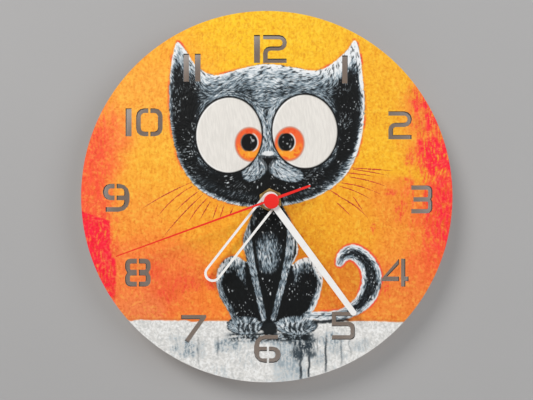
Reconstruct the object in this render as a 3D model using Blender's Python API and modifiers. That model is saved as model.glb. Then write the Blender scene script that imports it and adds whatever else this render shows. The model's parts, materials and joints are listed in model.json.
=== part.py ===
"""Round wall clock: a 3 mm board dial with stencil numerals cut through, on a quartz movement.

Metres, +Z up. The hands turn about the Y axis through the origin, y = 0 is the wall, the dial faces -Y.
The sizes below are millimetres. "Depth" is the distance forward of the wall, so y = -depth.
"""

import math

import bmesh
import bpy
from mathutils import Matrix, Vector

MM = 0.001
MERGE = 0.000001

# dial board
DISC_RADIUS = 125.0
DISC_CENTRE = (-2.4, 2.4)
DISC_DEPTHS = (17.7, 20.7)
DISC_HOLE_RADIUS = 4.2
RIM_SEGMENTS = 128

# stencil numerals
DIGIT_HALF_HEIGHT = 9.4
STROKE = 3.1
BRIDGE = 1.4
ARC_STEPS = 3
NUMERALS = (
    ("12", 0.0, 101.8),
    ("1", 50.2, 88.0),
    ("2", 87.4, 50.4),
    ("3", 102.0, 0.5),
    ("4", 84.0, -48.8),
    ("5", 49.2, -84.6),
    ("6", -2.0, -100.2),
    ("7", -51.6, -86.7),
    ("8", -89.2, -48.8),
    ("9", -103.8, 1.6),
    ("10", -85.0, 52.4),
    ("11", -52.8, 89.2),
)

# pieces clamped on the threaded bush
GASKET_DEPTHS = (16.15, 17.55)
GASKET_RADIUS = 9.0
WASHER_DEPTHS = (20.85, 21.45)
WASHER_RADIUS = 6.2
WASHER_BORE = 4.15
NUT_DEPTHS = (21.6, 24.2)
NUT_ACROSS_FLATS = 14.0
NUT_TURN_DEG = 4.6
NUT_BORE = 4.02
NUT_CHAMFER = 0.5
BUSH_RADIUS = 3.95
BUSH_FRONT = 25.3
BUSH_BORE = 2.63

# hands: angles are clockwise from twelve, seen from the front
HOUR_ANGLE = 218.2
MINUTE_ANGLE = 143.6
SECOND_ANGLE = 250.0
HOUR_BLADE = (26.2, 26.7)
HOUR_TIP = 67.5
HOUR_STROKE = 1.6
MINUTE_BLADE = (28.2, 28.7)
MINUTE_TIP = 94.3
MINUTE_HALF_WIDTHS = (2.3, 1.95)
HUB_RADIUS = 5.65
SECOND_BLADE = (30.2, 30.6)
SECOND_TIP = 108.0
SECOND_TAIL = 27.9
SECOND_HALF_WIDTHS = (0.7, 0.36)
SECOND_TAIL_HALF_WIDTHS = (1.0, 0.7)
SECOND_HUB_RADIUS = 3.6
SECOND_CAP_RADIUS = 5.0
SECOND_CAP_CENTRE = (0.7, -0.7)
SECOND_CAP_DEPTHS = (30.75, 31.3)
HAND_FIT = 0.07

# movement case
CASE_HALF = 28.0
CASE_WALL = 1.4
CASE_FRONT = 16.0
CAVITY_FRONT = 14.4
BAY_FRONT = 15.1
PARTITION_LOW = -12.4
PARTITION_HIGH = -11.2
COVER_DEPTHS = (0.0, 1.4)
BRIDGE_DEPTHS = (1.8, 2.8)
COVER_SCREWS = ((-23.2, 23.2), (23.2, 23.2), (-23.2, -7.8), (23.2, -7.8))
BRIDGE_SCREWS = ((-13.0, 8.2), (14.0, 8.8))
SCREW_LENGTH = 6.0
LOOP_HALF_WIDTH = 8.0
LOOP_TOP = 39.0
LOOP_THICKNESS = 2.6
LOOP_EYE = (-4.5, 4.5, 30.5, 36.5)

# gear train: each axis is (x, z)
MAIN_AXIS = (0.0, 0.0)
THIRD_AXIS = (8.84, 0.0)
INTERMEDIATE_AXIS = (-3.078, 8.457)
ROTOR_AXIS = (-3.078, 14.937)
MOTION_AXIS = (-9.273, -2.485)
PIVOT_RADIUS = 0.35
PIVOT_HOLE_RADIUS = 0.44
ARBOR_PIVOT_RADIUS = 0.4
ARBOR_HOLE_RADIUS = 0.48
ARBOR_RADIUS = 0.55
MINUTE_PIPE_RADIUS = 1.7
HOUR_PIPE_RADIUS = 2.55
PIPE_CLEARANCE = 0.08
STEM_RADIUS = 1.1
ADDENDUM = 0.8
DEDENDUM = 1.1
WHEEL_ROOT_SHARE = 0.50
PINION_ROOT_SHARE = 0.42
TIP_SHARE = 0.16

# dry cell
CELL_DEPTH = 7.8
CELL_Z = -19.5
CELL_RADIUS = 6.95

# looks: colour, roughness, metallic
LOOKS = {
    "dial_board": ((0.95, 0.45, 0.08), 0.45, 0.0),
    "white_enamel": ((0.92, 0.92, 0.92), 0.35, 0.0),
    "red_enamel": ((0.85, 0.03, 0.02), 0.35, 0.0),
    "brass": ((0.70, 0.55, 0.30), 0.30, 1.0),
    "steel": ((0.60, 0.60, 0.62), 0.30, 1.0),
    "rubber": ((0.03, 0.03, 0.03), 0.80, 0.0),
    "black_plastic": ((0.02, 0.02, 0.02), 0.45, 0.0),
    "white_plastic": ((0.85, 0.85, 0.82), 0.45, 0.0),
    "gear_plastic": ((0.80, 0.78, 0.70), 0.40, 0.0),
    "magnet": ((0.16, 0.16, 0.17), 0.50, 0.8),
    "soft_iron": ((0.45, 0.45, 0.46), 0.35, 1.0),
    "copper_wire": ((0.72, 0.30, 0.14), 0.30, 1.0),
    "green_board": ((0.03, 0.22, 0.08), 0.40, 0.0),
    "black_resin": ((0.015, 0.015, 0.015), 0.30, 0.0),
    "nickel": ((0.66, 0.64, 0.60), 0.25, 1.0),
    "cell_jacket": ((0.05, 0.10, 0.28), 0.30, 0.3),
}

QUARTER_TURN = math.radians(90)


# scene helpers

def collection(name):
    made = bpy.data.collections.new(name)
    bpy.context.scene.collection.children.link(made)
    return made


def look(name):
    """Principled material of one surface."""
    made = bpy.data.materials.get(name)
    if made:
        return made
    colour, roughness, metallic = LOOKS[name]
    made = bpy.data.materials.new(name)
    made.use_nodes = True
    shader = made.node_tree.nodes["Principled BSDF"]
    shader.inputs["Base Color"].default_value = (*colour, 1.0)
    shader.inputs["Roughness"].default_value = roughness
    shader.inputs["Metallic"].default_value = metallic
    made.diffuse_color = (*colour, 1.0)
    return made


def empty(name, axis, parent=None):
    """Frame on a turning axis, or the clock's own frame at the origin."""
    made = bpy.data.objects.new(name, None)
    made.location = (axis[0] * MM, 0.0, axis[1] * MM)
    made.empty_display_size = 0.01
    PARTS.objects.link(made)
    if parent:
        attach(made, parent)
    return made


def attach(child, parent):
    """Parent an object and keep its place in the world."""
    bpy.context.view_layer.update()
    child.parent = parent
    child.matrix_parent_inverse = parent.matrix_world.inverted()


def place(obj, x, depth, z, along="front", turn_deg=0.0):
    """Point the object's local Z forward, along X or up, and put its origin at a point."""
    turns = {
        "front": (QUARTER_TURN, math.radians(turn_deg), 0.0),
        "x": (0.0, QUARTER_TURN, 0.0),
        "up": (0.0, 0.0, 0.0),
    }
    obj.rotation_euler = turns[along]
    obj.location = (x * MM, -depth * MM, z * MM)


def shade(mesh):
    """Smooth round walls and keep the edges between flat faces sharp."""
    mesh.shade_smooth()
    mesh.set_sharp_from_angle(angle=math.radians(32))


def to_mesh(obj):
    """Replace a curve, or an object with modifiers, by its finished welded mesh."""
    bpy.context.view_layer.update()
    graph = bpy.context.evaluated_depsgraph_get()
    mesh = bpy.data.meshes.new_from_object(obj.evaluated_get(graph))
    bm = bmesh.new()
    bm.from_mesh(mesh)
    bmesh.ops.remove_doubles(bm, verts=bm.verts, dist=MERGE)
    bmesh.ops.recalc_face_normals(bm, faces=bm.faces)
    bm.to_mesh(mesh)
    bm.free()
    shade(mesh)
    name = obj.name
    solid = bpy.data.objects.new(name + "_solid", mesh)
    solid.matrix_world = obj.matrix_world
    bpy.data.objects.remove(obj)
    solid.name = name
    mesh.name = name
    TOOLS.objects.link(solid)
    return solid


def part(solid, surface, parent):
    """Make a finished solid one of the clock's pieces."""
    TOOLS.objects.unlink(solid)
    PARTS.objects.link(solid)
    solid.data.materials.clear()
    solid.data.materials.append(look(surface))
    attach(solid, parent)
    return solid


def boolean(target, tools, operation):
    """Cut or join hidden tool objects with live modifiers."""
    for tool in tools:
        step = target.modifiers.new(f"{operation.lower()} {tool.name}", "BOOLEAN")
        step.operation = operation
        step.solver = "EXACT"
        step.object = tool
        tool.hide_render = True
        tool.display_type = "WIRE"
    return target


def weld(target):
    """Close the hairline gaps a Boolean can leave."""
    step = target.modifiers.new("weld", "WELD")
    step.merge_threshold = 2 * MERGE
    return target


# shapes

def flat(name, outline, depths, centre=MAIN_AXIS, holes=(), along="front", turn_deg=0.0):
    """Plate between two depths: a filled 2D curve, extruded. Outlines are relative to the centre."""
    curve = bpy.data.curves.new(name, "CURVE")
    curve.dimensions = "2D"
    curve.fill_mode = "BOTH"
    curve.extrude = (depths[1] - depths[0]) / 2 * MM
    for loop in [outline, *holes]:
        spline = curve.splines.new("POLY")
        spline.points.add(len(loop) - 1)
        for spot, (u, v) in zip(spline.points, loop):
            spot.co = (u * MM, v * MM, 0.0, 1.0)
        spline.use_cyclic_u = True
    obj = bpy.data.objects.new(name, curve)
    TOOLS.objects.link(obj)
    middle = (depths[0] + depths[1]) / 2
    if along == "x":
        place(obj, middle, centre[0], centre[1], along)
    else:
        place(obj, centre[0], middle, centre[1], along, turn_deg)
    return to_mesh(obj)


def turned(name, profile, axis=MAIN_AXIS, steps=24, along="front"):
    """Turned piece from a (radius, station) profile with a Screw modifier.

    A profile that starts away from the axis is a closed ring section.
    """
    verts = [(radius * MM, 0.0, station * MM) for radius, station in reversed(profile)]
    edges = [(i, i + 1) for i in range(len(verts) - 1)]
    if profile[0][0] > 0:
        edges.append((len(verts) - 1, 0))
    mesh = bpy.data.meshes.new(name)
    mesh.from_pydata(verts, edges, [])
    obj = bpy.data.objects.new(name, mesh)
    TOOLS.objects.link(obj)
    spin = obj.modifiers.new("turn", "SCREW")
    spin.axis = "Z"
    spin.angle = 2 * math.pi
    spin.steps = steps
    spin.render_steps = steps
    spin.use_merge_vertices = True
    spin.merge_threshold = MERGE
    if along == "x":
        place(obj, 0.0, axis[0], axis[1], along)
    else:
        place(obj, axis[0], 0.0, axis[1], along)
    return to_mesh(obj)


def rod(name, radius, depths, axis=MAIN_AXIS, segments=10):
    bm = bmesh.new()
    length = depths[1] - depths[0]
    bmesh.ops.create_cone(
        bm, cap_ends=True, segments=segments, radius1=radius * MM, radius2=radius * MM, depth=length * MM
    )
    return from_bmesh(name, bm, axis[0], (depths[0] + depths[1]) / 2, axis[1])


def box(name, x_range, depths, z_range):
    bm = bmesh.new()
    sizes = (x_range[1] - x_range[0], z_range[1] - z_range[0], depths[1] - depths[0])
    bmesh.ops.create_cube(bm, size=1.0, matrix=Matrix.Diagonal([*(s * MM for s in sizes), 1.0]))
    middle = [(a + b) / 2 for a, b in (x_range, depths, z_range)]
    return from_bmesh(name, bm, *middle)


def from_bmesh(name, bm, x, depth, z):
    mesh = bpy.data.meshes.new(name)
    bm.to_mesh(mesh)
    bm.free()
    shade(mesh)
    obj = bpy.data.objects.new(name, mesh)
    TOOLS.objects.link(obj)
    place(obj, x, depth, z)
    return obj


# outlines

def circle(radius, segments, centre=(0.0, 0.0)):
    angles = [2 * math.pi * i / segments for i in range(segments)]
    return [(centre[0] + radius * math.cos(a), centre[1] + radius * math.sin(a)) for a in angles]


def rounded(corners, steps=ARC_STEPS):
    """Closed outline from (x, z, fillet radius) corners."""
    out = []
    count = len(corners)
    for i, (x, z, radius) in enumerate(corners):
        if radius <= 0:
            out.append((x, z))
            continue
        here = Vector((x, z))
        before = (Vector(corners[i - 1][:2]) - here).normalized()
        after = (Vector(corners[(i + 1) % count][:2]) - here).normalized()
        half = before.angle(after) / 2
        centre = here + (before + after).normalized() * (radius / math.sin(half))
        start = here + before * (radius / math.tan(half)) - centre
        end = here + after * (radius / math.tan(half)) - centre
        first = math.atan2(start.y, start.x)
        sweep = math.atan2(end.y, end.x) - first
        sweep = (sweep + math.pi) % (2 * math.pi) - math.pi
        for k in range(steps + 1):
            angle = first + sweep * k / steps
            out.append((centre.x + radius * math.cos(angle), centre.y + radius * math.sin(angle)))
    return out


def rectangle(x_range, z_range, radius=0.0):
    (x0, x1), (z0, z1) = x_range, z_range
    return rounded([(x0, z0, radius), (x1, z0, radius), (x1, z1, radius), (x0, z1, radius)])


def square(half, radius=0.0):
    return rectangle((-half, half), (-half, half), radius)


def shifted(islands, dx, dz=0.0):
    return [[(x + dx, z + dz) for x, z in island] for island in islands]


# numerals: each digit is a list of stencil islands centred on the origin

def mirrored(island):
    return [(-x, z) for x, z in reversed(island)]


def digit_0(w=8.9, outer=5.2, inner=2.6):
    h, t, b = DIGIT_HALF_HEIGHT, STROKE, BRIDGE / 2
    left = rounded([
        (-b, h, 0), (-w, h, outer), (-w, -h, outer), (-b, -h, 0),
        (-b, -h + t, 0), (-w + t, -h + t, inner), (-w + t, h - t, inner), (-b, h - t, 0),
    ])
    return [left, mirrored(left)]


def digit_1(w=1.9):
    return [rectangle((-w, w), (-DIGIT_HALF_HEIGHT, DIGIT_HALF_HEIGHT))]


def digit_2(w=7.9):
    h, bar = DIGIT_HALF_HEIGHT, 2.9
    low, high = -1.15, 1.7
    return [rounded([
        (-w, h, 0), (w, h, 5.2), (w, low, 5.2), (-w + STROKE, low, 1.9),
        (-w + STROKE, -h + bar, 0), (w - 0.2, -h + bar, 0), (w - 0.2, -h, 0), (-w, -h, 0),
        (-w, high, 4.6), (w - bar, high, 2.3), (w - bar, h - bar, 2.3), (-w, h - bar, 0),
    ])]


def digit_3(w=7.1):
    h, bar = DIGIT_HALF_HEIGHT, 2.9
    half_bar, inset, notch = 1.5, 1.4, 0.7
    return [rounded([
        (-w, h, 0), (-w, h - bar, 0), (w - bar, h - bar, 0.8), (w - bar, half_bar, 0.8),
        (-w + inset, half_bar, 0), (-w + inset, -half_bar, 0), (w - bar, -half_bar, 0.8),
        (w - bar, -h + bar, 0.8), (-w, -h + bar, 0), (-w, -h, 0), (w, -h, 3.4),
        (w, -1.9, 1.0), (w - notch, 0, 0), (w, 1.9, 1.0), (w, h, 3.4),
    ])]


def digit_4(w=9.1):
    h = DIGIT_HALF_HEIGHT
    high, low = -2.6, -5.7
    limb_left, limb_right = 4.0, 6.9
    cut = limb_left - BRIDGE
    left = [(cut, h), (-w, low + 1.8), (-w, low), (cut, low), (cut, high), (-5.2, high), (cut, h - 3.9)]
    right = [
        (limb_left, h), (limb_left, -h), (limb_right, -h), (limb_right, low),
        (w, low), (w, high), (limb_right, high), (limb_right, h),
    ]
    return [left, right]


def digit_5(w=7.8):
    h, bar = DIGIT_HALF_HEIGHT, 2.9
    low, high = -0.4, 2.7
    return [rounded([
        (-w, h, 0), (-w, low, 0), (w - STROKE, low, 1.6), (w - STROKE, -h + STROKE, 1.0),
        (-w, -h + STROKE, 0), (-w, -h, 0), (w, -h, 3.0), (w, high, 4.0),
        (-w + bar, high, 0), (-w + bar, h - bar, 0), (w, h - bar, 0), (w, h, 0),
    ])]


def digit_7(w=8.4):
    h, bar = DIGIT_HALF_HEIGHT, 2.9
    return [[(-w, h), (-w, h - bar), (4.1, h - bar), (-6.2, -h + 1.6), (-3.6, -h), (w, h - 1.8), (w, h)]]


def digit_8(w=8.6):
    h, t, b = DIGIT_HALF_HEIGHT, STROKE + 0.2, BRIDGE / 2
    half_bar, notch = 1.95, 1.4
    left = rounded([
        (-b, h, 0), (-w, h, 3.6), (-w, 2.7, 1.6), (-w + notch, 0, 0), (-w, -2.7, 1.6), (-w, -h, 3.6),
        (-b, -h, 0), (-b, -h + t, 0), (-w + t, -h + t, 0.8), (-w + t, -half_bar, 0.8), (-b, -half_bar, 0),
        (-b, half_bar, 0), (-w + t, half_bar, 0.8), (-w + t, h - t, 0.8), (-b, h - t, 0),
    ])
    return [left, mirrored(left)]


def digit_9(w=9.0):
    h, t = DIGIT_HALF_HEIGHT, STROKE
    cut_left, cut_right = -0.4 - BRIDGE / 2, -0.4 + BRIDGE / 2
    low = h - 11.0
    limb = 3.6
    left = rounded([
        (cut_left, h, 0), (-w, h, 5.0), (-w, low, 5.0), (cut_left, low, 0), (cut_left, low + t, 0),
        (-w + limb, low + t, 2.0), (-w + limb, h - t, 2.0), (cut_left, h - t, 0),
    ])
    right = rounded([
        (cut_right, h, 0), (cut_right, h - t, 0), (w - limb, h - t, 2.0), (w - limb, low + t, 0.6),
        (cut_right, low + t, 0), (cut_right, low, 0), (w - limb, low, 0),
        (w - limb, -h + t, 3.6), (-w + 1.9, -h + t, 0), (-w + 1.9, -h, 0), (w, -h, 7.5), (w, h, 7.0),
    ])
    return [left, right]


def digit_6():
    return [[(-x, -z) for x, z in island] for island in digit_9()]


def numeral(text):
    """Stencil islands of one numeral, centred on the origin."""
    if text == "10":
        return shifted(digit_1(2.0), -10.45) + shifted(digit_0(), 3.55)
    if text == "11":
        return shifted(digit_1(), -3.9) + shifted(digit_1(), 3.9)
    if text == "12":
        return shifted(digit_1(2.0), -9.0) + shifted(digit_2(8.0), 3.1)
    makers = {
        "1": digit_1, "2": digit_2, "3": digit_3, "4": digit_4, "5": digit_5,
        "6": digit_6, "7": digit_7, "8": digit_8, "9": digit_9,
    }
    return makers[text]()


def build_dial(clock):
    holes = [circle(DISC_HOLE_RADIUS, 32)]
    for text, x, z in NUMERALS:
        holes += shifted(numeral(text), x, z)
    rim = circle(DISC_RADIUS, RIM_SEGMENTS, DISC_CENTRE)
    part(flat("dial_disc", rim, DISC_DEPTHS, holes=holes), "dial_board", clock)


# pieces on the bush

def ring(name, bore, outer, depths, steps=32):
    rear, front = depths
    return turned(name, [(bore, rear), (outer, rear), (outer, front), (bore, front)], steps=steps)


def build_fixings(clock):
    part(ring("rubber_gasket", WASHER_BORE, GASKET_RADIUS, GASKET_DEPTHS), "rubber", clock)
    part(ring("brass_washer", WASHER_BORE, WASHER_RADIUS, WASHER_DEPTHS), "brass", clock)
    rear, front = NUT_DEPTHS
    across_corners = NUT_ACROSS_FLATS / 2 / math.cos(math.pi / 6)
    nut = rod("hex_nut", across_corners, NUT_DEPTHS, segments=6)
    place(nut, 0.0, (rear + front) / 2, 0.0, turn_deg=-NUT_TURN_DEG)
    edge = NUT_ACROSS_FLATS / 2 + 0.1
    barrel = turned(
        "nut_barrel",
        [
            (NUT_BORE, rear - 1), (edge, rear), (edge + 2, rear + NUT_CHAMFER),
            (edge + 2, front - NUT_CHAMFER), (edge, front), (NUT_BORE, front + 1),
        ],
        steps=30,
    )
    part(boolean(nut, [barrel], "INTERSECT"), "brass", clock)
    bush = turned(
        "threaded_bush",
        [
            (BUSH_BORE, 13.2), (5.5, 13.2), (5.5, 14.2), (BUSH_RADIUS, 14.2),
            (BUSH_RADIUS, BUSH_FRONT - 0.4), (BUSH_RADIUS - 0.4, BUSH_FRONT), (BUSH_BORE, BUSH_FRONT),
        ],
        steps=32,
    )
    part(bush, "brass", clock)


# movement case

def countersunk_screw(name, axis, head, clock):
    """Small slotted screw whose head faces the wall."""
    tip = head + SCREW_LENGTH
    blank = turned(
        name,
        [(0, head), (1.55, head), (0.85, head + 0.8), (0.85, tip - 0.6), (0.3, tip), (0, tip)],
        axis,
        steps=12,
    )
    x, z = axis
    slot = box(name + "_slot", (x - 0.2, x + 0.2), (head - 0.5, head + 0.4), (z - 2.0, z + 2.0))
    return part(boolean(blank, [slot], "DIFFERENCE"), "steel", clock)


def countersink(name, axis, depths):
    face, bottom = depths
    profile = [
        (0, face - 0.5), (1.85, face - 0.5), (1.85, face + 0.1),
        (1.05, face + 0.9), (1.05, bottom + 0.5), (0, bottom + 0.5),
    ]
    return turned(name, profile, axis, steps=12)


def build_housing(clock):
    inner = CASE_HALF - CASE_WALL
    housing = flat("front_housing", square(CASE_HALF, 3.2), (0, CASE_FRONT))
    loop = rounded([
        (-LOOP_HALF_WIDTH, 25.0, 0), (LOOP_HALF_WIDTH, 25.0, 0),
        (LOOP_HALF_WIDTH, LOOP_TOP, 5.0), (-LOOP_HALF_WIDTH, LOOP_TOP, 5.0),
    ])
    x0, x1, z0, z1 = LOOP_EYE
    eye = rectangle((x0, x1), (z0, z1), 2.0)
    front = CAVITY_FRONT + 0.4
    notch_z = (PARTITION_LOW - 1, PARTITION_HIGH + 1)
    boolean(housing, [flat("loop_plate", loop, (0, LOOP_THICKNESS))], "UNION")
    boolean(
        housing,
        [
            flat("cavity", rectangle((-inner, inner), (PARTITION_HIGH, inner), 1.8), (-1, CAVITY_FRONT)),
            flat("bay", rectangle((-inner, inner), (-inner, PARTITION_LOW), 0.8), (-1, BAY_FRONT)),
            flat("loop_eye", eye, (-1, LOOP_THICKNESS + 1)),
            rod("bush_hole", 4.2, (CAVITY_FRONT - 1, CASE_FRONT + 1), segments=32),
            box("notch_left", (-inner, -25.9), (4.6, 9.4), notch_z),
            box("notch_right", (25.9, inner), (10.8, 13.7), notch_z),
        ],
        "DIFFERENCE",
    )
    bosses = (
        [(2.0, COVER_DEPTHS[1] + 0.2, axis) for axis in COVER_SCREWS]
        + [(1.6, BRIDGE_DEPTHS[1] + 0.2, axis) for axis in BRIDGE_SCREWS]
        + [(1.5, 12.5, axis) for axis in (THIRD_AXIS, INTERMEDIATE_AXIS, ROTOR_AXIS)]
        + [(1.5, 12.9, MOTION_AXIS)]
        + [(1.2, 7.85, axis) for axis in ((-14.5, 12.8), (8.5, 12.8))]
        + [(1.2, 8.7, axis) for axis in ((-21.7, -2.5), (-21.7, 16.8))]
    )
    posts = []
    for number, (radius, rear, axis) in enumerate(bosses):
        posts.append(rod(f"post_{number}", radius, (rear, front), axis, 12))
    boolean(housing, posts, "UNION")
    bores = (
        [(1.0, 0.5, 8.0, axis) for axis in COVER_SCREWS]
        + [(1.0, 1.5, 9.0, axis) for axis in BRIDGE_SCREWS]
        + [(PIVOT_HOLE_RADIUS, 11.0, 13.9, axis) for axis in (THIRD_AXIS, INTERMEDIATE_AXIS)]
        + [(ARBOR_HOLE_RADIUS, 11.0, 13.9, ROTOR_AXIS), (0.58, 11.0, 13.9, MOTION_AXIS)]
    )
    drills = []
    for number, (radius, rear, end, axis) in enumerate(bores):
        drills.append(rod(f"drill_{number}", radius, (rear, end), axis))
    boolean(housing, drills, "DIFFERENCE")
    part(weld(housing), "black_plastic", clock)


def build_covers(clock):
    edge = CASE_HALF - CASE_WALL - 0.2
    cover = flat(
        "rear_cover",
        rectangle((-edge, edge), (PARTITION_HIGH + 0.2, edge), 1.6),
        COVER_DEPTHS,
        holes=[circle(5.4, 32, MOTION_AXIS)],
    )
    sinks = [countersink(f"cover_sink_{i}", axis, COVER_DEPTHS) for i, axis in enumerate(COVER_SCREWS)]
    part(weld(boolean(cover, sinks, "DIFFERENCE")), "black_plastic", clock)
    holes = [circle(STEM_RADIUS + PIPE_CLEARANCE, 16, MOTION_AXIS)]
    holes += [circle(ARBOR_HOLE_RADIUS, 12, axis) for axis in (MAIN_AXIS, ROTOR_AXIS)]
    holes += [circle(PIVOT_HOLE_RADIUS, 12, axis) for axis in (THIRD_AXIS, INTERMEDIATE_AXIS)]
    bridge = flat("train_bridge", rectangle((-16.0, 17.0), (-10.0, 18.0), 2.0), BRIDGE_DEPTHS, holes=holes)
    sinks = [countersink(f"bridge_sink_{i}", axis, BRIDGE_DEPTHS) for i, axis in enumerate(BRIDGE_SCREWS)]
    part(weld(boolean(bridge, sinks, "DIFFERENCE")), "white_plastic", clock)
    for number, axis in enumerate(COVER_SCREWS, 1):
        countersunk_screw(f"cover_screw_{number}", axis, COVER_DEPTHS[0] + 0.15, clock)
    for number, axis in enumerate(BRIDGE_SCREWS, 1):
        countersunk_screw(f"bridge_screw_{number}", axis, BRIDGE_DEPTHS[0] + 0.15, clock)


# gears

def gear_outline(teeth, module, root_share, aim):
    """Trapezoid teeth round the origin, one of them centred on the angle aim."""
    pitch = 2 * math.pi / teeth
    root = module * (teeth / 2 - DEDENDUM)
    tip = module * (teeth / 2 + ADDENDUM)
    corners = ((root, -root_share), (tip, -TIP_SHARE), (tip, TIP_SHARE), (root, root_share))
    out = []
    for i in range(teeth):
        for radius, share in corners:
            angle = aim + (i + share / 2) * pitch
            out.append((radius * math.cos(angle), radius * math.sin(angle)))
    return out


def mesh_pair(wheel_teeth, wheel_axis, pinion_teeth, pinion_axis):
    """Outlines of a wheel and of its pinion, phased so that the pinion's gap takes the wheel's tooth."""
    dx = pinion_axis[0] - wheel_axis[0]
    dz = pinion_axis[1] - wheel_axis[1]
    module = 2 * math.hypot(dx, dz) / (wheel_teeth + pinion_teeth)
    aim = math.atan2(dz, dx)
    gap = aim + math.pi + math.pi / pinion_teeth
    wheel = gear_outline(wheel_teeth, module, WHEEL_ROOT_SHARE, aim)
    pinion = gear_outline(pinion_teeth, module, PINION_ROOT_SHARE, gap)
    return wheel, pinion


def build_train(frames):
    centre_wheel, third_pinion = mesh_pair(64, MAIN_AXIS, 8, THIRD_AXIS)
    third_wheel, second_pinion = mesh_pair(60, THIRD_AXIS, 8, MAIN_AXIS)
    second_wheel, intermediate_pinion = mesh_pair(48, MAIN_AXIS, 8, INTERMEDIATE_AXIS)
    intermediate_wheel, rotor_pinion = mesh_pair(40, INTERMEDIATE_AXIS, 8, ROTOR_AXIS)
    motion_wheel, minute_pinion = mesh_pair(36, MOTION_AXIS, 12, MAIN_AXIS)
    hour_wheel, motion_pinion = mesh_pair(40, MAIN_AXIS, 10, MOTION_AXIS)

    second = turned(
        "second_wheel",
        [
            (0, 2.0), (ARBOR_PIVOT_RADIUS, 2.0), (ARBOR_PIVOT_RADIUS, 3.0),
            (ARBOR_RADIUS, 3.0), (ARBOR_RADIUS, 30.4), (0, 30.4),
        ],
        steps=12,
    )
    teeth = [flat("second_rim", second_wheel, (4.7, 5.5)), flat("second_leaves", second_pinion, (5.3, 7.1))]
    part(boolean(second, teeth, "UNION"), "gear_plastic", frames["second"])

    centre = flat("centre_wheel", centre_wheel, (7.8, 8.6))
    minute_stack = [
        rod("minute_hub", 1.9, (8.2, 9.2), segments=24),
        flat("minute_leaves", minute_pinion, (8.9, 10.9)),
        rod("minute_pipe", MINUTE_PIPE_RADIUS, (10.5, 28.6), segments=24),
    ]
    boolean(centre, minute_stack, "UNION")
    minute_bore = rod("minute_bore", ARBOR_RADIUS + PIPE_CLEARANCE + 0.01, (7.0, 29.5), segments=16)
    part(boolean(centre, [minute_bore], "DIFFERENCE"), "gear_plastic", frames["minute"])

    hour = flat("hour_wheel", hour_wheel, (11.3, 12.1))
    boolean(hour, [rod("hour_pipe", HOUR_PIPE_RADIUS, (11.6, 26.6), segments=24)], "UNION")
    hour_bore = rod("hour_bore", MINUTE_PIPE_RADIUS + PIPE_CLEARANCE, (10.5, 27.5), segments=24)
    part(boolean(hour, [hour_bore], "DIFFERENCE"), "gear_plastic", frames["hour"])

    third = rod("third_wheel", PIVOT_RADIUS, (2.0, 13.4), THIRD_AXIS, 8)
    teeth = [
        flat("third_rim", third_wheel, (6.0, 6.8), THIRD_AXIS),
        flat("third_leaves", third_pinion, (6.6, 8.9), THIRD_AXIS),
    ]
    part(boolean(third, teeth, "UNION"), "gear_plastic", frames["third"])

    intermediate = rod("intermediate_wheel", PIVOT_RADIUS, (2.0, 13.4), INTERMEDIATE_AXIS, 8)
    teeth = [
        flat("intermediate_rim", intermediate_wheel, (3.3, 4.1), INTERMEDIATE_AXIS),
        flat("intermediate_leaves", intermediate_pinion, (3.9, 5.9), INTERMEDIATE_AXIS),
    ]
    part(boolean(intermediate, teeth, "UNION"), "gear_plastic", frames["intermediate"])

    rotor = rod("rotor_pinion", ARBOR_PIVOT_RADIUS, (2.0, 13.4), ROTOR_AXIS)
    teeth = [
        flat("rotor_leaves", rotor_pinion, (3.1, 4.7), ROTOR_AXIS),
        rod("rotor_collar", 1.2, (4.5, 6.15), ROTOR_AXIS, 16),
    ]
    part(boolean(rotor, teeth, "UNION"), "gear_plastic", frames["rotor"])
    magnet = turned(
        "rotor_magnet",
        [(0.6, 6.3), (2.3, 6.3), (2.5, 6.5), (2.5, 8.4), (2.3, 8.6), (0.6, 8.6)],
        ROTOR_AXIS,
        steps=24,
    )
    part(magnet, "magnet", frames["rotor"])

    motion = turned(
        "motion_wheel",
        [(0, 0.6), (STEM_RADIUS, 0.6), (STEM_RADIUS, 9.6), (0.5, 12.0), (0.5, 13.6), (0, 13.6)],
        MOTION_AXIS,
        steps=16,
    )
    teeth = [
        flat("motion_rim", motion_wheel, (9.4, 10.2), MOTION_AXIS),
        flat("motion_leaves", motion_pinion, (10.0, 12.5), MOTION_AXIS),
    ]
    part(boolean(motion, teeth, "UNION"), "gear_plastic", frames["motion"])
    knurl = []
    for i in range(48):
        radius = 5.0 if i % 2 else 4.75
        angle = 2 * math.pi * i / 48
        knurl.append((radius * math.cos(angle), radius * math.sin(angle)))
    knob = flat("setting_knob", knurl, (0.25, 1.5), MOTION_AXIS, holes=[circle(STEM_RADIUS + 0.06, 16)])
    part(knob, "white_plastic", frames["motion"])


# stepping motor and electrics

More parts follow.
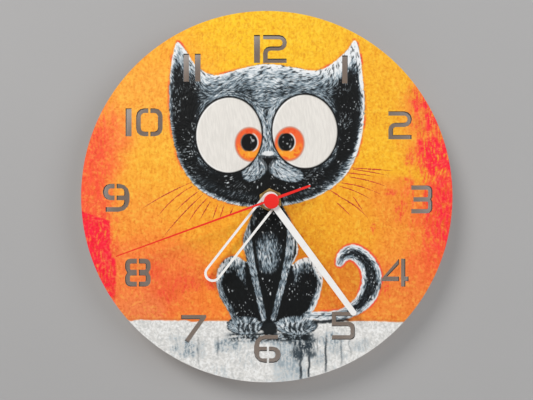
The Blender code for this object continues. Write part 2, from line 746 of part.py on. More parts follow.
def build_motor(clock):
    x0, x1 = -16.0, 10.0
    leg = 3.0
    rotor_x, rotor_z = ROTOR_AXIS
    plate = [
        (x0, 11.2), (x1, 11.2), (x1, 24.2), (x1 - leg, 24.2),
        (x1 - leg, 18.8), (x0 + leg, 18.8), (x0 + leg, 24.2), (x0, 24.2),
    ]
    stator = flat("stator", plate, (6.5, 7.7), holes=[circle(2.95, 28, (rotor_x, rotor_z))])
    part(stator, "soft_iron", clock)
    part(box("coil_core", (x0, x1), (7.85, 9.05), (21.7, 24.1)), "soft_iron", clock)
    coil_axis = (8.45, 22.9)
    bobbin = flat("coil_bobbin", rectangle((-2.0, 2.0), (-1.4, 1.4)), (-12.6, 6.6), coil_axis, along="x")
    flanges = [
        flat(f"flange_{i}", square(3.3, 0.6), (x, x + 1.0), coil_axis, along="x")
        for i, x in enumerate((-12.6, 5.6))
    ]
    boolean(bobbin, flanges, "UNION")
    bore = box("bobbin_bore", (-14.0, 8.0), (8.45 - 0.8, 8.45 + 0.8), (22.9 - 1.4, 22.9 + 1.4))
    part(boolean(bobbin, [bore], "DIFFERENCE"), "white_plastic", clock)
    winding = flat(
        "coil_winding",
        square(2.9, 1.2),
        (-11.45, 5.45),
        coil_axis,
        holes=[rectangle((-2.15, 2.15), (-1.55, 1.55))],
        along="x",
    )
    part(winding, "copper_wire", clock)


def build_electrics(clock, cell_frame):
    board = flat("circuit_board", rectangle((-25.8, -17.6), (-5.0, 19.0), 0.8), (7.5, 8.5))
    part(board, "green_board", clock)
    chip = flat("circuit_chip", rectangle((-24.2, -19.4), (3.6, 8.8), 1.2), (6.3, 7.35))
    part(chip, "black_resin", clock)
    crystal = rod("quartz_crystal", 1.0, (-3.1, 3.1), segments=16)
    place(crystal, -21.7, 6.3, 13.1, along="up")
    part(crystal, "nickel", clock)
    negative = box("battery_contact_negative", (-26.4, -26.1), (2.0, 14.0), (-25.0, -13.8))
    tabs = [
        box("negative_tab", (-26.4, -26.1), (5.0, 9.0), (-14.5, -2.5)),
        box("negative_foot", (-26.3, -24.2), (7.05, 7.35), (-4.6, -2.6)),
    ]
    part(weld(boolean(negative, tabs, "UNION")), "nickel", clock)
    positive = box("battery_contact_positive", (26.1, 26.4), (2.0, 14.0), (-25.0, -13.8))
    tabs = [
        box("positive_tab", (26.1, 26.4), (11.2, 13.2), (-14.5, -10.45)),
        box("positive_strip", (-21.0, 26.3), (11.2, 13.2), (-10.75, -10.4)),
        box("positive_arm", (-21.0, -19.0), (7.05, 12.0), (-10.7, -10.45)),
        box("positive_foot", (-20.9, -19.1), (7.05, 7.35), (-10.6, -3.6)),
    ]
    part(weld(boolean(positive, tabs, "UNION")), "nickel", clock)
    part(build_spring(), "steel", clock)
    axis = (CELL_DEPTH, CELL_Z)
    r = CELL_RADIUS
    cell = turned(
        "battery_cell",
        [(0, -24.0), (r - 0.4, -24.0), (r, -23.6), (r, 24.2), (r - 0.5, 24.7), (0, 24.7)],
        axis,
        steps=32,
        along="x",
    )
    part(cell, "cell_jacket", cell_frame)
    terminal = turned(
        "battery_terminal",
        [(0, 24.85), (5.2, 24.85), (5.2, 25.1), (2.75, 25.1), (2.75, 25.9), (2.5, 26.0), (0, 26.0)],
        axis,
        steps=16,
        along="x",
    )
    part(terminal, "nickel", cell_frame)


def build_spring():
    """Conical wire spring that presses on the cell's flat end."""
    turns, per_turn = 2.5, 14
    wide, narrow = 4.5, 2.5
    start, length = -25.62, 1.1
    curve = bpy.data.curves.new("battery_spring", "CURVE")
    curve.dimensions = "3D"
    curve.bevel_depth = 0.34 * MM
    curve.bevel_resolution = 1
    curve.use_fill_caps = True
    count = int(turns * per_turn) + 1
    wire = curve.splines.new("POLY")
    wire.points.add(count - 1)
    for i, spot in enumerate(wire.points):
        share = i / (count - 1)
        angle = 2 * math.pi * turns * share
        radius = wide + (narrow - wide) * share
        x = start + length * share
        spot.co = (x * MM, radius * math.cos(angle) * MM, radius * math.sin(angle) * MM, 1.0)
    obj = bpy.data.objects.new("battery_spring", curve)
    obj.location = (0.0, -CELL_DEPTH * MM, CELL_Z * MM)
    TOOLS.objects.link(obj)
    return to_mesh(obj)


# hands: drawn pointing at twelve and turned on their axis

def arc(radius, first, last, steps, centre=(0.0, 0.0)):
    """Points on an arc between two angles, both ends included."""
    out = []
    for k in range(steps + 1):
        angle = first + (last - first) * k / steps
        out.append((centre[0] + radius * math.cos(angle), centre[1] + radius * math.sin(angle)))
    return out


def build_hour_hand(frame):
    tip_centre = (0.0, HOUR_TIP - HUB_RADIUS)
    outline = arc(HUB_RADIUS, math.pi, 2 * math.pi, 16) + arc(HUB_RADIUS, 0, math.pi, 12, tip_centre)
    inner = HUB_RADIUS - HOUR_STROKE
    side = math.acos(inner / HUB_RADIUS)
    window = arc(HUB_RADIUS, side, math.pi - side, 8) + arc(inner, math.pi, 0, 12, tip_centre)
    bore = HOUR_PIPE_RADIUS + HAND_FIT
    blade = flat("hour_hand", outline, HOUR_BLADE, holes=[window, circle(bore, 24)], turn_deg=HOUR_ANGLE)
    collar = ring("hour_collar", bore, 3.6, (25.6, HOUR_BLADE[0] + 0.2), 24)
    part(boolean(blade, [collar], "UNION"), "white_enamel", frame)


def build_minute_hand(frame):
    root, half = MINUTE_HALF_WIDTHS
    side = math.acos(root / HUB_RADIUS)
    outline = arc(HUB_RADIUS, math.pi - side, 2 * math.pi + side, 28)
    outline += arc(half, 0, math.pi, 10, (0.0, MINUTE_TIP - half))
    bore = MINUTE_PIPE_RADIUS + HAND_FIT
    blade = flat("minute_hand", outline, MINUTE_BLADE, holes=[circle(bore, 20)], turn_deg=MINUTE_ANGLE)
    collar = ring("minute_collar", bore, 2.7, (27.3, MINUTE_BLADE[0] + 0.2), 24)
    part(boolean(blade, [collar], "UNION"), "white_enamel", frame)


def build_second_hand(frame):
    hub = SECOND_HUB_RADIUS
    needle, tip = SECOND_HALF_WIDTHS
    tail_root, tail = SECOND_TAIL_HALF_WIDTHS
    needle_side = math.acos(needle / hub)
    tail_side = math.acos(tail_root / hub)
    outline = [(-needle, math.sqrt(hub ** 2 - needle ** 2))]
    outline += arc(hub, math.pi - needle_side, math.pi + tail_side, 10)[1:]
    outline += arc(tail, math.pi, 2 * math.pi, 6, (0.0, -SECOND_TAIL + tail))
    outline += arc(hub, 2 * math.pi - tail_side, 2 * math.pi + needle_side, 10)
    outline += [(tip, SECOND_TIP), (-tip, SECOND_TIP)]
    bore = ARBOR_RADIUS + HAND_FIT
    blade = flat("second_hand", outline, SECOND_BLADE, holes=[circle(bore, 16)], turn_deg=SECOND_ANGLE)
    tube = ring("second_tube", bore, 1.2, (29.0, SECOND_BLADE[0] + 0.2), 16)
    part(boolean(blade, [tube], "UNION"), "red_enamel", frame)
    rear, front = SECOND_CAP_DEPTHS
    r = SECOND_CAP_RADIUS
    profile = [(0, rear), (r, rear), (r, rear + 0.25), (r - 0.35, front), (0, front)]
    cap = turned("second_cap", profile, axis=SECOND_CAP_CENTRE, steps=36)
    part(cap, "red_enamel", frame)


for old in list(bpy.data.objects):
    bpy.data.objects.remove(old)

PARTS = collection("wall_clock")
TOOLS = collection("wall_clock_tools")

clock_frame = empty("clock", MAIN_AXIS)
axis_frames = {
    name: empty(name + "_axis", axis, clock_frame)
    for name, axis in (
        ("second", MAIN_AXIS),
        ("minute", MAIN_AXIS),
        ("hour", MAIN_AXIS),
        ("third", THIRD_AXIS),
        ("intermediate", INTERMEDIATE_AXIS),
        ("rotor", ROTOR_AXIS),
        ("motion", MOTION_AXIS),
        ("cell", (0.0, CELL_Z)),
    )
}
build_dial(clock_frame)
build_fixings(clock_frame)
build_housing(clock_frame)
build_covers(clock_frame)
build_train(axis_frames)
build_motor(clock_frame)
build_electrics(clock_frame, axis_frames["cell"])
build_hour_hand(axis_frames["hour"])
build_minute_hand(axis_frames["minute"])
build_second_hand(axis_frames["second"])
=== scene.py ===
"""Visual model of the round wall clock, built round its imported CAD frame.

The picture on the dial is painted by the functions of the two picture sections, in millimetres from the
disc's centre, and goes onto a fine mesh as vertex colours and real relief. Places in the scene are in metres.
"""

import json
import math
from contextlib import contextmanager

import bmesh
import bpy
import numpy as np
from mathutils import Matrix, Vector
from mathutils.geometry import delaunay_2d_cdt


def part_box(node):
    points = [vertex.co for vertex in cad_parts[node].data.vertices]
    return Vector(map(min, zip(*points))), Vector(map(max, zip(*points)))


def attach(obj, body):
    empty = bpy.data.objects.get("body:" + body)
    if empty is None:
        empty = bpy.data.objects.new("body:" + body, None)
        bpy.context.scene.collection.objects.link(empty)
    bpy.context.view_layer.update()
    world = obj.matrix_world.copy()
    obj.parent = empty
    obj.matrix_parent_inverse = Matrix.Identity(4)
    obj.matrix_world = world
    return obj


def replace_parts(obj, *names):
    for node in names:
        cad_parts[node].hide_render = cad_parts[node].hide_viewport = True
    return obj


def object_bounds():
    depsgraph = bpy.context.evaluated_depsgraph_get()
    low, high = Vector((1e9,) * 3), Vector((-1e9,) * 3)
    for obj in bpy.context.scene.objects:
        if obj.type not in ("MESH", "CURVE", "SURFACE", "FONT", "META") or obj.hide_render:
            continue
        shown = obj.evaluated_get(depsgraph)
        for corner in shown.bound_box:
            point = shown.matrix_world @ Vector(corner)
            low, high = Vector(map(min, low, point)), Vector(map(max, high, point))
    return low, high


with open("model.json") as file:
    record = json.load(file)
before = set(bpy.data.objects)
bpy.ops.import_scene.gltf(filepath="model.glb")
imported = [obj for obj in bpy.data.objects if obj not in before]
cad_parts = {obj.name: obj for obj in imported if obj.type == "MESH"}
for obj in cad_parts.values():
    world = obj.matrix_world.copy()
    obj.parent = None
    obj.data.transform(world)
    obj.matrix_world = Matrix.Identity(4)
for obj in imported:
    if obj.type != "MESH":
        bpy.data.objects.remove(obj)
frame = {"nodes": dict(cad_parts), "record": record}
CAD_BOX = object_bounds()

MM = 0.001
BODY = "clock_body"
DIAL_LOW, DIAL_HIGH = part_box("dial_disc")
DIAL_X = (DIAL_LOW[0] + DIAL_HIGH[0]) / 2
DIAL_Z = (DIAL_LOW[2] + DIAL_HIGH[2]) / 2
DIAL_FRONT = DIAL_LOW[1]
DIAL_RADIUS_MM = (DIAL_HIGH[0] - DIAL_LOW[0]) / 2 / MM


# ---- picture: canvas and brushes ----

SIDE = 127.0  # mm from the middle of the canvas to its edge
CELL = 0.3    # mm between its points
N = int(2 * SIDE / CELL) + 1
AXIS = np.linspace(-SIDE, SIDE, N)
X, Z = np.meshgrid(AXIS, AXIS)
UPRIGHT = math.pi / 2  # direction of an upright stroke


def rgb(code):
    """Red, green and blue, 0 to 1, of a colour code."""
    return np.array([int(code[i:i + 2], 16) / 255 for i in (0, 2, 4)])


def step(value, low, high):
    """0 below low, 1 above high, and smooth between them."""
    t = np.clip((value - low) / (high - low), 0, 1)
    return t * t * (3 - 2 * t)


def value_noise(cell_x, cell_z, seed):
    """Smooth random field, 0 to 1, with one random value per cell."""
    rng = np.random.default_rng(seed)
    u, v = (AXIS + SIDE) / cell_x, (AXIS + SIDE) / cell_z
    grid = rng.random((int(v[-1]) + 3, int(u[-1]) + 3))
    i, j = v.astype(int), u.astype(int)
    fv, fu = step(v - i, 0, 1)[:, None], step(u - j, 0, 1)
    rows = grid[i] * (1 - fv) + grid[i + 1] * fv
    return rows[:, j] * (1 - fu) + rows[:, j + 1] * fu


def cloud(cell_x, cell_z, seed, octaves=3):
    """Value noise of several sizes on top of each other, about 0.5 on average."""
    total, weight = 0, 0
    for k in range(octaves):
        share = 0.55 ** k
        total = total + share * value_noise(cell_x / 2 ** k, cell_z / 2 ** k, seed + k)
        weight += share
    return total / weight


def sway(size, *cloud_of):
    """Cloud as a shift of up to half the size either way."""
    return (cloud(*cloud_of) - 0.5) * size


def strokes(angle, length, width, seed):
    """Random grain drawn out along the local direction into brush strokes, evened to 0..1."""
    grain = np.random.default_rng(seed).random((N, N), dtype=np.float32)
    for axis in (0, 1):
        grain = sum(np.roll(grain, k, axis) for k in range(width)) / width
    grain = grain.ravel()
    turn = np.asarray(angle, np.float32).ravel()
    du, dv = np.cos(turn), np.sin(turn)
    total, weight = grain.copy(), 1.0
    half = int(length / 2 / CELL)
    here = np.arange(N * N, dtype=np.int32)
    for sign in (1, -1):
        column = (here % N + 0.5).astype(np.float32)
        row = (here // N + 0.5).astype(np.float32)
        spot = here
        for k in range(1, half + 1):
            column += sign * du[spot]
            row += sign * dv[spot]
            i, j = (np.clip(place, 0, N - 1).astype(np.int32) for place in (row, column))
            spot = i * N + j
            share = 0.5 + 0.5 * math.cos(math.pi * k / (half + 1))
            total += share * grain[spot]
            weight += share
    total = (total - total.mean()) / total.std()
    return (1 / (1 + np.exp(-1.7 * total))).reshape(N, N)


def spline(points, closed=True, steps=8):
    """Smooth curve through points."""
    pts = np.array(points, float)
    before, after = (pts[-1:], pts[:2]) if closed else (pts[:1], pts[-1:])
    chain = np.concatenate([before, pts, after])
    out = []
    for a, b, c, d in zip(chain, chain[1:], chain[2:], chain[3:]):
        for t in np.arange(steps) / steps:
            out.append(0.5 * (2 * b + (c - a) * t + (2 * a - 5 * b + 4 * c - d) * t ** 2
                              + (3 * b - a - 3 * c + d) * t ** 3))
    if not closed:
        out.append(pts[-1])
    return np.array(out)


def to_segment(x, z, a, b):
    """Distance of points to the stretch from a to b, and how far along it, 0 to 1, they are."""
    ex, ez = b[0] - a[0], b[1] - a[1]
    t = np.clip(((x - a[0]) * ex + (z - a[1]) * ez) / (ex * ex + ez * ez + 1e-9), 0, 1)
    return np.hypot(x - a[0] - t * ex, z - a[1] - t * ez), t


def sides(outline):
    return zip(outline, np.roll(outline, -1, 0))


def encloses(outline, x, z):
    """Even-odd test of points against a closed outline."""
    odd = np.zeros(x.shape, bool)
    for (ax, az), (bx, bz) in sides(outline):
        if az != bz:
            odd ^= ((az > z) != (bz > z)) & (x < ax + (z - az) * (bx - ax) / (bz - az))
    return odd


def distance(outline, x, z, reach):
    """Distance of points to a closed outline, where it is under the reach."""
    best = np.full(x.shape, float(reach))
    for a, b in sides(outline):
        best = np.minimum(best, to_segment(x, z, a, b)[0])
    return best


def window(low, high, margin):
    """Slices of the canvas round a box."""
    out = []
    for k in (1, 0):
        first = int((low[k] - margin + SIDE) / CELL)
        last = int((high[k] + margin + SIDE) / CELL) + 2
        out.append(slice(max(first, 0), min(last, N)))
    return tuple(out)


def region(outline, reach=14.0):
    """Signed distance to a closed outline, negative inside, exact within the reach."""
    win = window(outline.min(0), outline.max(0), reach)
    x, z = X[win], Z[win]
    field = np.full(X.shape, reach)
    field[win] = np.where(encloses(outline, x, z), -1, 1) * distance(outline, x, z, 1e9)
    return field


def limb(points, radii, reach=10.0):
    """Distance to a curved limb of changing radius (negative inside) and its local direction."""
    path = spline([(x, z, r) for (x, z), r in zip(points, radii)], closed=False)
    win = window(path[:, :2].min(0), path[:, :2].max(0), reach + max(radii))
    x, z = X[win], Z[win]
    best = np.full(x.shape, 1e9)
    turn = np.zeros(x.shape)
    for a, b in zip(path, path[1:]):
        away, t = to_segment(x, z, a, b)
        here = away - (a[2] + t * (b[2] - a[2]))
        turn = np.where(here < best, math.atan2(b[1] - a[1], b[0] - a[0]), turn)
        best = np.minimum(best, here)
    field = np.full(X.shape, reach)
    field[win] = best
    angle = np.zeros(X.shape)
    angle[win] = turn
    return field, angle


def ellipse(cx, cz, rx, rz, tilt=0.0):
    """About the signed distance to an ellipse."""
    c, s = math.cos(math.radians(tilt)), math.sin(math.radians(tilt))
    u = ((X - cx) * c + (Z - cz) * s) / rx
    v = (-(X - cx) * s + (Z - cz) * c) / rz
    return (np.hypot(u, v) - 1) * (rx + rz) / 2


def lay(canvas, colour, cover):
    """Lay a colour, or another canvas, over the canvas where cover is 1."""
    if isinstance(colour, str):
        colour = rgb(colour)
    cover = np.clip(cover, 0, 1)[..., None]
    return canvas * (1 - cover) + colour * cover


def edge(field, soft=0.25):
    """1 inside a distance field, 0 outside."""
    return step(-field, -soft, soft)


# ---- picture: what is painted ----

# All places are in mm from the disc's centre. In the painting functions, step(value, low, high) says where
# a stroke starts and where it covers fully, and the last factor of a cover is its strength.

# colour patches of the ground: x, z, radius, colour
GROUND_PATCHES = (
    (-20, 118, 40, "F8C222"), (25, 112, 40, "F7C02A"), (-60, 92, 26, "F9A836"), (70, 88, 30, "F5B22C"),
    (-84, 66, 24, "FAAA3E"), (-104, 40, 13, "FB7440"), (-118, 22, 14, "FC6C3C"), (-85, 25, 22, "FBB436"),
    (-110, 0, 12, "FA7640"), (-88, -8, 16, "F9983A"), (-60, -4, 26, "F9AC34"), (-36, -14, 22, "F5A42B"),
    (-24, -32, 16, "F6B02A"), (-45, -40, 20, "F38F34"), (-70, -34, 18, "F8803A"), (-64, -56, 18, "F2683A"),
    (-92, -52, 16, "F98540"), (-90, -76, 16, "F08048"), (-50, -72, 16, "F58036"), (-36, -66, 10, "F88A30"),
    (76, 56, 22, "F5B428"), (80, 32, 20, "F6B526"), (97, 36, 10, "F69234"), (104, 60, 12, "F2823A"),
    (44, -8, 24, "F3AA26"), (60, -18, 20, "F3A42A"), (28, -26, 16, "DD921E"), (32, -46, 14, "E08E20"),
    (52, -56, 14, "DF8428"), (84, -8, 16, "F49232"), (88, -32, 16, "F49234"), (112, -10, 12, "F3602E"),
    (96, -60, 16, "F08038"), (110, -42, 12, "F56A34"), (78, -74, 16, "F08836"), (48, -70, 10, "EE8430"),
)
PATCH_SPREAD = 0.62  # share of a patch's radius at which it is down to 61%
# small red dabs on the ground: x, z, half width, half height
RED_DABS = (
    (-74, -50, 5, 8), (-70, -56, 3, 4), (-54, -58, 14, 7), (-66, -66, 10, 5), (-38, -58, 6, 5),
    (-114, 33, 5, 12), (90, -8, 4, 8), (84, 3, 6, 3), (72, -21, 2.4, 4), (81, -62, 2.6, 6),
    (94, 11, 6, 2.5), (99, 70, 5, 9), (104, 46, 4, 8), (116, 44, 3, 6), (96, 26, 3, 7),
)
CRIMSON = "FB1F3C"
SCARLET = "F64A36"
DAB_RED = "EC4630"
# pale yellow of the painted highlight on the crests of the ground's dabs
GLOW = "FFD552"

LEDGE_Z = -83.4
PLASTER_LIGHT = "F6F7F7"
PLASTER_BLUE = "A9B7C0"
PLASTER_DARK = "5F6F7A"
GRIME = "1C252C"
# runs of dark wash down the ledge: x, half width, lowest z, strength
DRIPS = (
    (22.9, 0.75, -123, 1.0), (28.5, 0.60, -124, 0.95), (39.7, 0.55, -118, 0.95), (50.4, 0.35, -113, 0.45),
    (18.5, 0.5, -108, 0.6), (34.0, 0.35, -104, 0.5), (56, 0.35, -106, 0.35), (-33, 0.6, -107, 0.35),
    (-46, 0.5, -112, 0.3), (9, 0.4, -116, 0.25), (66, 0.3, -103, 0.3),
)
# stained areas of the ledge: x, z, half width, half height, strength
STAINS = (
    (-52, -102, 10, 7, 0.85), (-28, -100, 9, 5, 0.75), (-8, -97, 10, 3, 0.7), (14, -99, 12, 4, 0.8),
    (43, -96, 8, 5, 0.8), (47, -102, 7, 4, 0.5), (16, -112, 11, 12, 0.75), (34, -108, 8, 7, 0.4),
    (-62, -96, 6, 3, 0.4), (62, -100, 8, 5, 0.35),
)

HEAD = (
    (-60.5, 104), (-54.5, 98.5), (-47.5, 88.5), (-38.5, 82.6), (-30, 82.6), (-16, 86.6), (0, 89.4),
    (16, 87.6), (30, 85), (39, 86.6), (47.5, 92.5), (54, 98.5), (59.5, 105.5), (63, 95), (65, 78),
    (66, 60), (64, 40), (58, 22), (49, 10), (35, 0.5), (18, -5), (0, -7), (-18, -6), (-33, -2),
    (-46, 5.5), (-55.5, 17), (-61.5, 32), (-64.8, 50), (-65.6, 70), (-64.2, 90),
)
TRUNK = (
    (-8, -4), (-10, -12), (-15, -25), (-15.6, -35), (-13.5, -43.5), (-20, -40), (-27, -41.5), (-32.5, -48),
    (-34, -57), (-32, -66), (-27, -75), (-22.5, -83), (-12, -87), (0, -88.5), (14, -87), (27, -82),
    (33.5, -73), (37, -62), (37.6, -53), (33.5, -45), (27.5, -41), (21.5, -42.5), (17.5, -45.5),
    (20.8, -38), (20.5, -28), (16.5, -17), (12, -8), (9, -3),
)
TAIL = ((28, -80), (40, -80.2), (52, -78.8), (62.5, -73), (69, -64), (70.8, -54), (67, -44), (58.5, -37.5),
        (51.5, -40), (49.2, -44.5))
TAIL_RADII = (2.6, 3.0, 3.8, 5.2, 6.4, 6.6, 6.0, 5.2, 3.9, 2.7)
LEFT_LEG = ((-13.4, -14), (-12.6, -30), (-9.4, -48), (-5.0, -68), (-2.0, -82))
RIGHT_LEG = ((15.5, -18), (16.0, -32), (12.8, -50), (8.2, -68), (4.6, -82))
LEG_RADII = (1.9, 3.0, 2.5, 2.3, 2.0)
# paws, eyes and cheeks: x, z, half width, half height, tilt in degrees
PAWS = ((-14.7, -86.7, 12.4, 6.4), (20.0, -86.7, 14.4, 6.6))
FIRST_TOES = (-3.0, -6.5)  # mm from a paw's middle to its first toe
TOE_PITCH = 3.4
EYES = ((-25.4, 41.5, 22.0, 25.2, -3), (25.7, 44.0, 21.8, 24.6, 3))
CHEEKS = ((-7.6, 18.4, 10.0, 6.4, 36), (12.4, 17.4, 13.0, 6.4, -20))
# irises: x, z, tilt in degrees, then the pupil's x and z
IRISES = ((-11.2, 35.2, 8, -11.6, 36.6), (15.3, 35.6, -8, 13.4, 36.8))
IRIS_RADII = (9.6, 11.0)
PUPIL_RADII = (5.7, 6.3)
NOSE = ((-4.4, 26.6), (0.8, 27.0), (6.0, 26.4), (3.0, 22.2), (1.0, 18.6), (-1.2, 22.2))
LIP_LINE = ((0.9, 20), (0.9, 14), (0.9, 6))
LIP_RADII = (1.1, 1.2, 2.6)
# whiskers: root x, z, heading in degrees, length, bend in degrees
WHISKERS = (
    (-51, 9.5, 203, 37, 10), (-50, 7.0, 208, 31, 26), (-43, 1.5, 222, 40, 10), (-40, -1, 223, 21, 18),
    (-38, -3.5, 236, 13, 8), (-33, -5.5, 248, 11, 6), (-23, -8, 247, 5, 0), (-46, 3.5, 214, 20, 14),
    (-29, -6.5, 250, 9, 4), (57, 19.3, -3, 28, -2), (58, 18.4, -8, 24, -4), (56, 13.2, -8, 26, -14),
    (50, 9.2, -6, 28, -20), (49, 7.0, -14, 23, -18), (48, 0.4, -25, 25, -22), (58, 0, -52, 12, -8),
    (43, 4, -30, 9, -6), (54, 16, -4, 18, -8), (47, -4, -40, 13, -8),
)
# greys of the coat, from the black of the fur to the palest stroke
COAT = ((0, "07090A"), (0.22, "1A2126"), (0.45, "5D6B75"), (0.65, "8FA0AB"), (0.85, "C3CED5"), (1, "EEF1F3"))


def mean_turn(angle_a, angle_b, share):
    """Direction between two stroke directions, where opposite headings count as the same."""
    ca = np.cos(2 * angle_a) * (1 - share) + np.cos(2 * angle_b) * share
    sa = np.sin(2 * angle_a) * (1 - share) + np.sin(2 * angle_b) * share
    return np.arctan2(sa, ca) / 2


def along_edge(field):
    """Direction of the lines of equal distance to a shape."""
    down, across = np.gradient(field)
    return np.arctan2(across, -down)


def spots(shapes, seed):
    """Cover of rough-edged ellipses (x, z, half width, half height, strength)."""
    rough = sway(1.3, 5, 5, seed)
    cover = np.zeros((N, N))
    for x, z, half_x, half_z, strength in shapes:
        reach = np.hypot((X - x) / half_x, (Z - z) / half_z) + rough
        cover = np.maximum(cover, strength * step(-reach, -1.25, -0.45))
    return cover


def tinted(code):
    return np.ones((N, N, 3)) * rgb(code)


def blend_patches():
    """Soft colour patches of the ground, run into each other."""
    total = np.zeros((N, N, 3))
    weight = np.zeros((N, N, 1))
    x_here = X + sway(26, 26, 26, 11)
    z_here = Z + sway(26, 26, 26, 15)
    for x, z, radius, code in GROUND_PATCHES:
        spread = PATCH_SPREAD * radius
        share = np.exp(-((x_here - x) ** 2 + (z_here - z) ** 2) / (2 * spread ** 2)) + 1e-6
        total += share[..., None] * rgb(code)
        weight += share[..., None]
    return total / weight


def paint_rims(art, upright):
    """Red and crimson streaks down the left and the right rim."""
    streaky = step(upright, 0.20, 0.65)
    right = step(X + sway(34, 5, 26, 41), 92, 110) * step(Z, -68, -24) * step(-Z, -96, -60)
    left = step(-X + sway(20, 5, 22, 45), 96, 114) * step(-Z, -78, -40) * step(Z, -90, -66)
    art = lay(art, SCARLET, (right * 0.95 + left * 0.75) * streaky)
    heart = step(X + sway(16, 4, 16, 51), 101, 107) * step(Z + sway(16, 5, 9, 53), 10, 20)
    heart *= step(-Z + sway(10, 6, 6, 54), -42, -34)
    upper = step(X + 0.45 * (Z - 40) + sway(16, 4, 9, 57), 109, 114)
    upper *= step(Z, 40, 50) * step(-Z, -76, -62)
    lower = step(X + sway(16, 3, 30, 59), 109, 116) * step(-Z, -16, -8) * step(Z, -46, -22)
    wedge = step(-X + sway(2.4, 2, 9, 55) + 4.5 * step(-Z, 32, 46), 105.4, 106.2)
    wedge *= step(-Z - 0.35 * (X + 125), 9, 10.2) * step(Z + sway(12, 4, 9, 56), -74, -64)
    art = lay(art, CRIMSON, np.maximum(heart, wedge) * 0.96 * step(upright, 0.03, 0.22))
    art = lay(art, CRIMSON, np.maximum(upper * 0.95, lower * 0.85) * step(upright, 0.3, 0.65))
    beside = step(-X, 97, 105) * (1 - step(-X, 105, 106)) * step(-Z, 8, 16) * step(Z, -74, -60)
    return lay(art, DAB_RED, beside * step(cloud(3, 7, 58), 0.45, 0.6) * streaky * 0.8)


def paint_ground():
    """Warm ground in thick short strokes with painted highlight and shade, and red streaks down both rims."""
    wander = sway(9, 9, 9, 21)
    dabs = strokes(wander, 3.6, 3, 31)
    upright = strokes(UPRIGHT + sway(1.2, 14, 14, 24), 7.0, 2, 32)
    fine = strokes(wander + 1.3, 2.0, 2, 33)
    art = paint_rims(blend_patches(), upright)
    dab_shapes = [(x, z, half_x, half_z, 0.95) for x, z, half_x, half_z in RED_DABS]
    art = lay(art, DAB_RED, spots(dab_shapes, 61) * step(0.5 * upright + 0.5 * dabs, 0.42, 0.66) * 0.9)

    relief = 0.40 * (dabs - 0.5) + 0.35 * (upright - 0.5) + 0.55 * (fine - 0.5)
    # colour lighter and cooler where the strokes stand high: painted highlight on the same relief that raises
    # the mesh, as in the print's impasto
    art = art * (1.02 + relief[..., None] * np.array([0.05, 0.16, 0.30]))
    # painted highlight in pale yellow on the crests of the dabs
    art = lay(art, GLOW, step(dabs, 0.72, 0.93) * 0.30)
    # darker and warmer where the fine and the upright strokes lie low: painted shade in the grooves of the
    # relief
    art = lay(art, art * np.array([0.90, 0.78, 0.66]), step(1 - fine, 0.78, 0.96) * 0.55)
    art = lay(art, art * np.array([0.92, 0.82, 0.70]), step(1 - upright, 0.84, 0.98) * 0.50)
    return art, relief * 0.9, upright


def paint_ledge(art, height, upright):
    """Streaked plaster ledge with stains and drips."""
    top = LEDGE_Z + sway(2.6, 9, 9, 71) + 0.7 * np.sin(X / 17)
    ledge = step(top - Z, -0.3, 0.4)
    mottle = strokes(sway(12, 4, 4, 74), 2.4, 2, 75)
    runs = step(-Z, 94, 103) * step(cloud(16, 20, 77), 0.38, 0.6)
    stone = tinted("E0DFDC") * (1 + (mottle[..., None] - 0.5) * 0.12)
    stone = lay(stone, PLASTER_LIGHT, step(mottle, 0.60, 0.92) * 0.75)
    stone = lay(stone, "C2C5C6", step(1 - mottle, 0.72, 0.96) * 0.5)
    stone = lay(stone, PLASTER_BLUE, runs * step(upright, 0.55, 0.9) * 0.5)
    stained = spots(STAINS, 78)
    stone = lay(stone, PLASTER_BLUE, stained * step(0.6 * mottle + 0.4 * upright, 0.25, 0.6) * 0.9)
    stone = lay(stone, PLASTER_DARK, stained * step(0.5 * mottle + 0.5 * upright, 0.56, 0.72) * 0.9)
    panel = step(X + sway(1.5, 2, 6, 79), 4.6, 5.4) * step(-X, -30, -22) * step(-Z, 97, 101)
    stone = lay(stone, "B4C0C7", panel * step(mottle, 0.2, 0.6) * 0.55)
    for x, half, lowest, depth in DRIPS:
        wobble = x + (cloud(30, 7, 80 + int(x * 7) % 97) - 0.5) * 2.4
        drip = step(half - abs(X - wobble), -0.35, 0.25) * step(-Z, 93, 97)
        drip *= step(Z, lowest - 2, lowest + 2)
        stone = lay(stone, GRIME, drip * depth * (0.6 + 0.4 * upright))
    puddle = spots([(24.5, -98, 7.5, 7, 1.0), (21, -104, 4.5, 6, 0.8), (29, -102, 4, 7, 0.75)], 83)
    stone = lay(stone, GRIME, puddle * step(0.6 * upright + 0.4 * mottle, 0.30, 0.44))
    stone = lay(stone, PLASTER_DARK, puddle * 0.25)
    art = lay(art, stone, ledge)
    shade = step(0.8 - abs(Z - top - 0.7), -0.3, 0.4) * (1 - ledge)
    art = lay(art, "C86A28", shade * 0.35)
    return art, height * (1 - ledge) + ledge * (mottle - 0.5) * 0.9, ledge, mottle


def coat_colour(tone):
    """Colour of the coat for a tone from 0, black, to 1, the palest stroke."""
    stops = [stop for stop, _ in COAT]
    colours = np.array([rgb(code) for _, code in COAT])
    return np.stack([np.interp(tone, stops, colours[:, k]) for k in range(3)], -1)


class Cat:
    """Distance fields of the cat's parts, negative inside, and the directions of its limbs."""

    def __init__(self):
        self.head = region(spline(HEAD))
        self.trunk = region(spline(TRUNK))
        self.tail, self.tail_turn = limb(TAIL, TAIL_RADII)
        self.left_leg, self.left_turn = limb(LEFT_LEG, LEG_RADII)
        self.right_leg, self.right_turn = limb(RIGHT_LEG, LEG_RADII)
        self.legs = np.minimum(self.left_leg, self.right_leg)
        self.each_paw = [ellipse(*paw) for paw in PAWS]
        self.paws = np.minimum(*self.each_paw)
        self.eyes = np.minimum(*(ellipse(*eye) for eye in EYES))
        self.whole = np.minimum.reduce([self.head, self.trunk, self.tail])
        self.in_head = self.head < 0
        self.low = ~self.in_head
        self.rag = sway(1.2, 1.5, 1.5, 101, 2)


